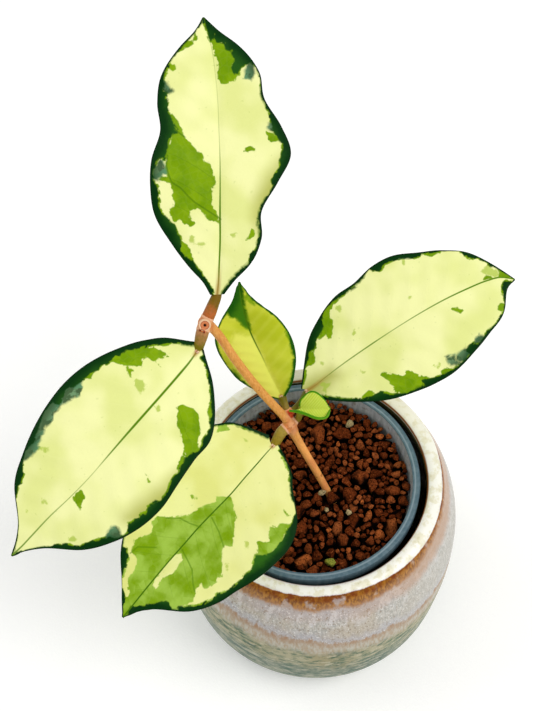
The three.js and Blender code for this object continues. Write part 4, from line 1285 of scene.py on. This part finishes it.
def makeGlaze():
    form = coverPotForm
    material = startMaterial("dripGlaze", Roughness=0.3, IOR=1.5, Coat_Roughness=0.16,
                             Specular_IOR_Level=0.02)
    spot = scaled(objectPlace(), (1000, 1000, 1000))
    east, north, high = splitPlace(spot)
    out = reckon("LENGTH", scaled(spot, (1, 1, 0)), output="Value")
    runs = speckle(scaled(spot, (1, 1, 0.16)), 0.34, 4.0, 0.6)
    threads = speckle(scaled(spot, (1, 1, 0.22)), 1.0, 3.0, 0.6)
    broad = speckle(scaled(spot, (1, 1, 0.7)), 0.055, 3.0)
    mottle = speckle(scaled(spot, (1, 1, 0.7)), 0.8, 3.0, 0.7)
    pebbles = speckle(spot, 1.3, 2.0, 0.6)
    swirls = speckle(scaled(spot, (0.65, 0.65, 1.15)), 0.15, 4.0, 0.7)
    flecks = speckle(scaled(spot, (0.8, 0.8, 1.25)), 0.27, 4.0, 0.6)

    # the borders dip on one side of the pot, and wander
    toward = reckon("DOT_PRODUCT", spot, form["lean"] + (0,), "Value")
    drift = (broad - 0.5) * 14.0
    feather = (runs - 0.5) * 9.0 + (pebbles - 0.5) * 5.0
    level = high + drift + feather - toward / out * form["leanRise"]

    # mossy green at the bottom, with dark and olive swirls
    moss = blendColor(fade(swirls, 0.36, 0.6), tone(104, 122, 92), tone(172, 166, 134))
    moss = coatOver(moss, (fade(broad, 0.42, 0.6, 0.55), tone(146, 134, 88)),
                    (fade(swirls, 0.44, 0.34, 0.9), tone(62, 92, 70)),
                    (fade(flecks, 0.56, 0.64, 0.75), tone(194, 186, 158)),
                    (fade(flecks, 0.46, 0.38, 0.8), tone(66, 98, 74)))
    mossLow = blendColor(fade(swirls, 0.36, 0.62), tone(78, 104, 86), tone(150, 154, 132))
    mossLow = coatOver(mossLow, (fade(flecks, 0.46, 0.38, 0.7), tone(56, 92, 74)),
                       (fade(flecks, 0.54, 0.64, 0.6), tone(180, 178, 156)))
    color = blendColor(fade(level, form["moss"] - 10, form["moss"] + 10), mossLow, moss)
    # beige, browner towards its top
    beige = blendColor(fade(threads, 0.35, 0.65), tone(176, 158, 134), tone(192, 188, 174))
    brownish = fade(level, form["beige"] + 4, form["grey"] - 2) * fade(runs, 0.3, 0.6, 0.45, 0.95)
    beige = blendColor(brownish, beige, tone(164, 128, 98))
    color = blendColor(fade(level, form["beige"] - 7, form["beige"] + 3), color, beige)
    # pearl grey with lavender at both borders, dark specks and white flecks
    grey = blendColor(fade(threads, 0.38, 0.62), tone(166, 164, 156), tone(200, 196, 188))
    plain = fade(east, 12.0, 50.0)
    low, top = form["amber"]
    lowHaze = fade(level, form["grey"] + 8, form["grey"] + 1, 0.6)
    topHaze = fade(high, low - 9, low - 2, 0.6)
    drips = fade(high, low - 16, low - 3, 0.9) * fade(runs, 0.5, 0.6)
    grey = coatOver(grey, (fade(broad, 0.44, 0.6, 0.6) * (plain * -0.85 + 1.0), tone(186, 172, 150)),
                    (work("MAXIMUM", lowHaze, topHaze), tone(180, 179, 188)),
                    (drips, tone(214, 213, 214)),
                    (fade(mottle, 0.54, 0.66, 0.75), tone(142, 124, 106)),
                    (fade(pebbles, 0.58, 0.68, 0.8), tone(236, 235, 232)),
                    (plain * 0.45, tone(198, 197, 190)))
    color = blendColor(fade(level, form["grey"] - 2, form["grey"] + 1), color, grey)

    # the amber band under the lip: it thins out to one side and is darkest at its top
    amberLine = high - fade(east, 30.0, 58.0, 2.4) + (feather + drift) * 0.56
    haze = fade(amberLine, low - 9.5, low - 3.5, 0.72) * fade(east, 0.0, 50.0, 1.0, 0.3)
    pale = fade(amberLine, low + 4.5, low, 0.75) * fade(pebbles, 0.3, 0.6, 1.0, 0.5)
    rust = fade(high, top - 3.4, top - 0.6) * fade(runs, 0.32, 0.6, 0.3, 1.0)
    amber = blendColor(fade(threads, 0.36, 0.64), tone(178, 120, 34), tone(116, 66, 6))
    amber = coatOver(amber, (pale, tone(176, 134, 98)), (rust, tone(122, 58, 10)))
    holes = fade(speckle(scaled(spot, (1, 1, 0.5)), 0.16, 3.0), 0.56, 0.66, 0.35, 1.0)
    color = coatOver(color, (haze, tone(186, 146, 112)),
                     (fade(amberLine, low - 1.6, low + 1.4) * holes, amber))

    # the thick cream lip, its pale fringe, the thin brown line round the mouth, and painted shade in
    # dark olive below it
    crackle = speckle(spot, 0.24, 4.0, 0.6)
    away = fade(north, 0.0, 34.0, 2.6) + fade(east, 12.0, 48.0, 0.9)
    edge = high + away + feather * 0.05
    behind = fade(north, 0.0, 56.0, 0.65) * fade(east, -40.0, 20.0, 1.0, 0.3)
    cream = blendColor(fade(crackle, 0.46, 0.6), tone(247, 246, 237), tone(232, 228, 204))
    cream = coatOver(cream, (fade(crackle, 0.62, 0.68, 0.55), tone(204, 200, 158)),
                     (fade(edge, top + 0.28, top, 0.7), tone(216, 212, 216)),
                     (behind, tone(222, 214, 182)))
    inner = out < form["mouth"]
    line = fade(abs(high - form["mouthLine"]), 0.8, 0.35, 0.95)
    clay = blendColor(fade(mottle, 0.3, 0.7), tone(206, 190, 166), tone(186, 168, 142))
    color = coatOver(color, (fade(edge, top - 0.12, top + 0.08), cream),
                     (inner * fade(high, 102.6, 103.0), cream),
                     (inner * line, tone(150, 84, 22)),
                     (inner * fade(high, 102.0, 101.2), tone(74, 70, 40)),
                     (fade(high, 1.6, 0.8), clay))
    height = (threads * 0.5 + pebbles * 0.6) * fade(high, 101.0, 96.0, 1.0, 0.15)
    # the glaze is glossiest near the mouth, and the foot is bare
    return finishMaterial(material, color, height, 0.0005, Roughness=fade(high, 1.8, 0.6, 0.8, 0.26),
                          Coat_Weight=fade(high, 78.0, 100.0, 0.4))


coverPot = buildCoverPot()
coverPot.data.materials.append(makeGlaze())
standIn(coverPot, "ceramic_pot", 50)

# growing pot

growPotForm = {
    "centre": (-1.2, 0.2), "sides": 120, "slots": 6, "slotMiddle": 30.5, "slotSize": (9.0, 4.0, 10.0),
    "slotHeight": 8.0, "rimLine": 42.9, "innerRim": 42.3,
    "profile": [(27, 10.5), (27, 8), (33, 8), (33.1, 8.4), (42.9, 96.2), (43.1, 96.6), (44.6, 96.8),
                (45, 97.2), (45, 102.2), (44.7, 102.7), (44.2, 102.8), (42.4, 102.8), (41.9, 102.6),
                (41.8, 102.2), (41.5, 96.0), (31.8, 9.4), (31.5, 9.2), (28.2, 9.2), (28.2, 11.7)],
}


def buildGrowPot():
    form = growPotForm
    centre = form["centre"]
    profile = [(0.5, 10.5)] + form["profile"] + [(0.5, 11.7)]
    pot = addRings("growPot", profile, form["sides"], centre)
    cutters = []
    for slot in range(form["slots"]):
        turn = 2 * math.pi * (slot + 0.5) / form["slots"]
        spot = Vector((centre[0] + form["slotMiddle"] * math.cos(turn),
                       centre[1] + form["slotMiddle"] * math.sin(turn), form["slotHeight"])) * mm
        cutter = addShape("cube", size=1, location=spot, rotation=(0, 0, turn))
        cutter.scale = Vector(form["slotSize"]) * mm
        cutters.append(cutter)
    cutter = joinAs("slotCutter", *cutters)
    applyModifier(pot, "BOOLEAN", operation="DIFFERENCE", object=cutter, solver="EXACT")
    bpy.data.objects.remove(cutter)
    return pot


def makeGrowPlastic():
    form = growPotForm
    material = startMaterial("growPlastic", Roughness=0.36, IOR=1.48, Specular_IOR_Level=0.3)
    at = objectPlace()
    moved = reckon("SUBTRACT", at, Vector((*form["centre"], 0)) * mm)
    out = reckon("LENGTH", scaled(moved, (1, 1, 0)), output="Value") * 1000.0
    high = splitPlace(at)[2] * 1000.0
    scuffs = speckle(scaled(at, (1, 1, 0.2)), 700.0, 4.0)
    rim = blendColor(fade(scuffs, 0.35, 0.7), tone(76, 102, 114), tone(96, 118, 128))
    rim = blendColor(fade(abs(out - form["rimLine"]), 0.45, 0.2, 0.55), rim, tone(150, 168, 178))
    # painted light: the inside wall is painted a far paler grey than the rim, as if lit through the thin
    # plastic; soil dust specks it
    wall = blendColor(fade(scuffs, 0.35, 0.7), tone(188, 194, 200), tone(158, 165, 170))
    inner = (out < form["innerRim"]) * fade(high, 102.5, 102.0)
    dust = inner * fade(speckle(at, 380.0, 3.0), 0.58, 0.7, 0.5)
    color = coatOver(rim, (inner, wall), (dust, tone(98, 66, 48)))
    color, grain = grainOver(color, at, 1500.0, 0.05)
    return finishMaterial(material, color, grain, 0.0001)


growPot = buildGrowPot()
growPot.data.materials.append(makeGrowPlastic())
standIn(growPot, "nursery_pot", 40)

# clay grit

gritForm = {
    "centre": (-1.2, 0.2), "radius": 41.4, "bed": 88.0, "level": 96.6, "bedRadius": 40.4,
    "bottom": 12.2, "bottomRadius": 31.4, "most": 2000, "tries": 10, "seed": 8423,
    "radii": (1.15, 3.7), "small": 2.7, "shapes": 16, "stemGap": 0.3, "closeness": 0.95,
    "chips": 9, "chipDepth": (0.58, 0.86), "shadeReach": 1.8, "refusals": 40,
    "stretches": [(1.2, 0.95, 0.85), (1.05, 1.0, 0.95), (1.35, 0.9, 0.85), (1.0, 1.0, 0.85)],
    # places of the few pale and mossy stones, their kind, and how much bigger they are
    "oddStones": [(0.5, -5.6, 1, 1.2), (15.1, -14.8, 1, 1), (2, -12, 1, 1), (17.6, 29, 1, 1.3),
                  (2.4, -34.8, 0, 1.9)],
}


def shapeGrain(number):
    # one rough grain, a millimetre in radius: lumpy, with broken facets
    grain = addShape("ico_sphere", subdivisions=2, radius=1.0)
    dice = random.Random(number)
    faces = [(Vector([dice.gauss(0, 1) for _ in range(3)]).normalized(),
              dice.uniform(*gritForm["chipDepth"])) for _ in range(gritForm["chips"])]
    for vertex in grain.data.vertices:
        spot = vertex.co.normalized()
        push = 1.08 + 0.4 * noise.noise(spot * 1.2 + Vector((number * 7.3, 0, 0)))
        push += 0.34 * noise.noise(spot * 3.1 + Vector((0, number * 5.1, 0)))
        spot = spot * push
        for face, depth in faces:
            over = spot.dot(face) - depth
            if over > 0:
                spot = spot - face * over * 0.95
        vertex.co = spot
    stretches = gritForm["stretches"]
    grain.data.transform(Matrix.Diagonal((*stretches[number % len(stretches)], 1)))
    return grain


def pourGrains():
    # each grain comes to rest on those below it; gives centres, radii and the dice
    form = gritForm
    dice = random.Random(form["seed"])
    centre = np.array(form["centre"])
    stemLine = smoothLine(stemForm["line"], 8)
    spots = np.zeros((0, 3))
    radii = np.zeros(0)
    full = 0
    while len(radii) < form["most"] and full < form["refusals"]:
        low, high = form["radii"]
        radius = low + (high - low) * dice.random() ** form["small"]
        best = None
        for _ in range(form["tries"]):
            turn = dice.uniform(0, 2 * math.pi)
            out = (form["radius"] - radius * 0.8) * dice.random() ** 0.5
            spot = centre + out * np.array([math.cos(turn), math.sin(turn)])
            rest = form["bed"] + radius * 0.5
            if len(radii):
                reach = (radii + radius) * form["closeness"]
                gap = np.hypot(*(spots[:, :2] - spot).T)
                touch = gap < reach
                if touch.any():
                    rest = max(rest, float(np.max(spots[touch, 2] + np.sqrt(
                        reach[touch] ** 2 - gap[touch] ** 2))))
            level = np.array([*spot, rest])
            fromStem = np.linalg.norm(stemLine[:, :3] - level, axis=1) - stemLine[:, 3]
            if fromStem.min() < radius * 0.9 + form["stemGap"]:
                continue
            if best is None or rest < best[2]:
                best = level
        if best is None or best[2] + radius * 0.4 > form["level"] + 0.8 * dice.random():
            full += 1
            continue
        full = 0
        spots = np.vstack([spots, best])
        radii = np.append(radii, radius)
    return spots, radii, dice


def buildGrit():
    form = gritForm
    spots, radii, dice = pourGrains()
    shapes = [shapeGrain(number) for number in range(form["shapes"])]
    grains = []
    deepest = 0.8 * radii + spots[:, 2]
    kinds = np.full(len(radii), 0.5)
    bulks = np.ones(len(radii))
    for east, north, kind, bulk in form["oddStones"]:
        gap = np.hypot(spots[:, 0] - east, spots[:, 1] - north)
        odd = np.argmin(0.5 * gap ** 2 - 1.6 * spots[:, 2])
        kinds[odd], bulks[odd] = kind, bulk
    for spot, radius, kind in zip(spots, radii * bulks, kinds):
        grain = dice.choice(shapes).copy()
        grain.data = grain.data.copy()
        bpy.context.collection.objects.link(grain)
        turn = Matrix.Rotation(dice.uniform(0, 6.28), 4, Vector(
            (dice.gauss(0, 1), dice.gauss(0, 1), dice.gauss(0, 1))).normalized())
        grain.data.transform(Matrix.Translation(Vector(spot) * mm) @ turn
                             @ Matrix.Scale(radius * mm, 4))
        # how far each spot lies below its neighbours' tops, which the clay darkens as painted shade
        near = np.hypot(*(spots[:, :2] - spot[:2]).T) < radius + radii + form["shadeReach"]
        at = places(grain)
        aside = np.hypot(at[:, None, 0] - spots[None, near, 0], at[:, None, 1] - spots[None, near, 1])
        share = np.clip(1 - (aside - 0.6 * radii[near]) / form["shadeReach"], 0, 1)
        sunk = np.max((deepest[near] - at[:, None, 2]) * share, axis=1)
        keepValue(grain, "grainDepth", sunk)
        keepValue(grain, "grainTone", dice.random())
        keepValue(grain, "grainKind", kind)
        grains.append(grain)
    for shape in shapes:
        bpy.data.objects.remove(shape)
    body = [(0.5, form["bottom"]), (form["bottomRadius"], form["bottom"]),
            (form["bedRadius"] - 0.3, form["bed"] - 0.5), (form["bedRadius"] - 1.5, form["bed"]),
            (0.5, form["bed"] + 0.4)]
    bed = addRings("bed", body, 72, form["centre"])
    # the bed takes the greatest depth, so the clay paints it near black as shade between the grains
    for name, value in (("grainDepth", 9.0), ("grainTone", 0.0), ("grainKind", 0.0)):
        keepValue(bed, name, value)
    print("poured", len(grains), "grains")
    return joinAs("clayGrit", bed, *grains)


def makeClay():
    material = startMaterial("firedClay", Roughness=0.9, Specular_IOR_Level=0.06)
    at = objectPlace()
    kind = readValue("grainKind")
    poresAndGlints = speckle(at, 1500.0, 4.0, 0.7)
    # painted shade: grains lying below their neighbours, the bed under them and all that sits low in the
    # pot are darkened towards black
    deep = work("MAXIMUM", fade(readValue("grainDepth"), 0.6, 2.0, 0.99),
                fade(splitPlace(at)[2] * 1000.0, 95.0, 92.0, 0.9))
    color = rampColor(readValue("grainTone"), [(0.0, (80, 30, 4)), (0.35, (112, 48, 16)),
                                               (0.7, (140, 68, 30)), (0.93, (164, 88, 44)),
                                               (1.0, (196, 104, 48))])
    # pale and mossy stones, dark pores, and small orange painted highlights for glints on the grains
    color = coatOver(color, (fade(kind, 0.6, 0.9), tone(196, 176, 130)),
                     (fade(kind, 0.4, 0.1), tone(162, 170, 66)),
                     (fade(poresAndGlints, 0.5, 0.38, 0.85), tone(26, 8, 2)),
                     (fade(poresAndGlints, 0.56, 0.66, 0.5), tone(196, 112, 62)),
                     (deep, tone(5, 1, 0)))
    return finishMaterial(material, grainOver(color, at, 900.0, 0.22)[0], poresAndGlints, 0.0009)


grit = buildGrit()
grit.data.materials.append(makeClay())
standIn(grit, "substrate", 24)
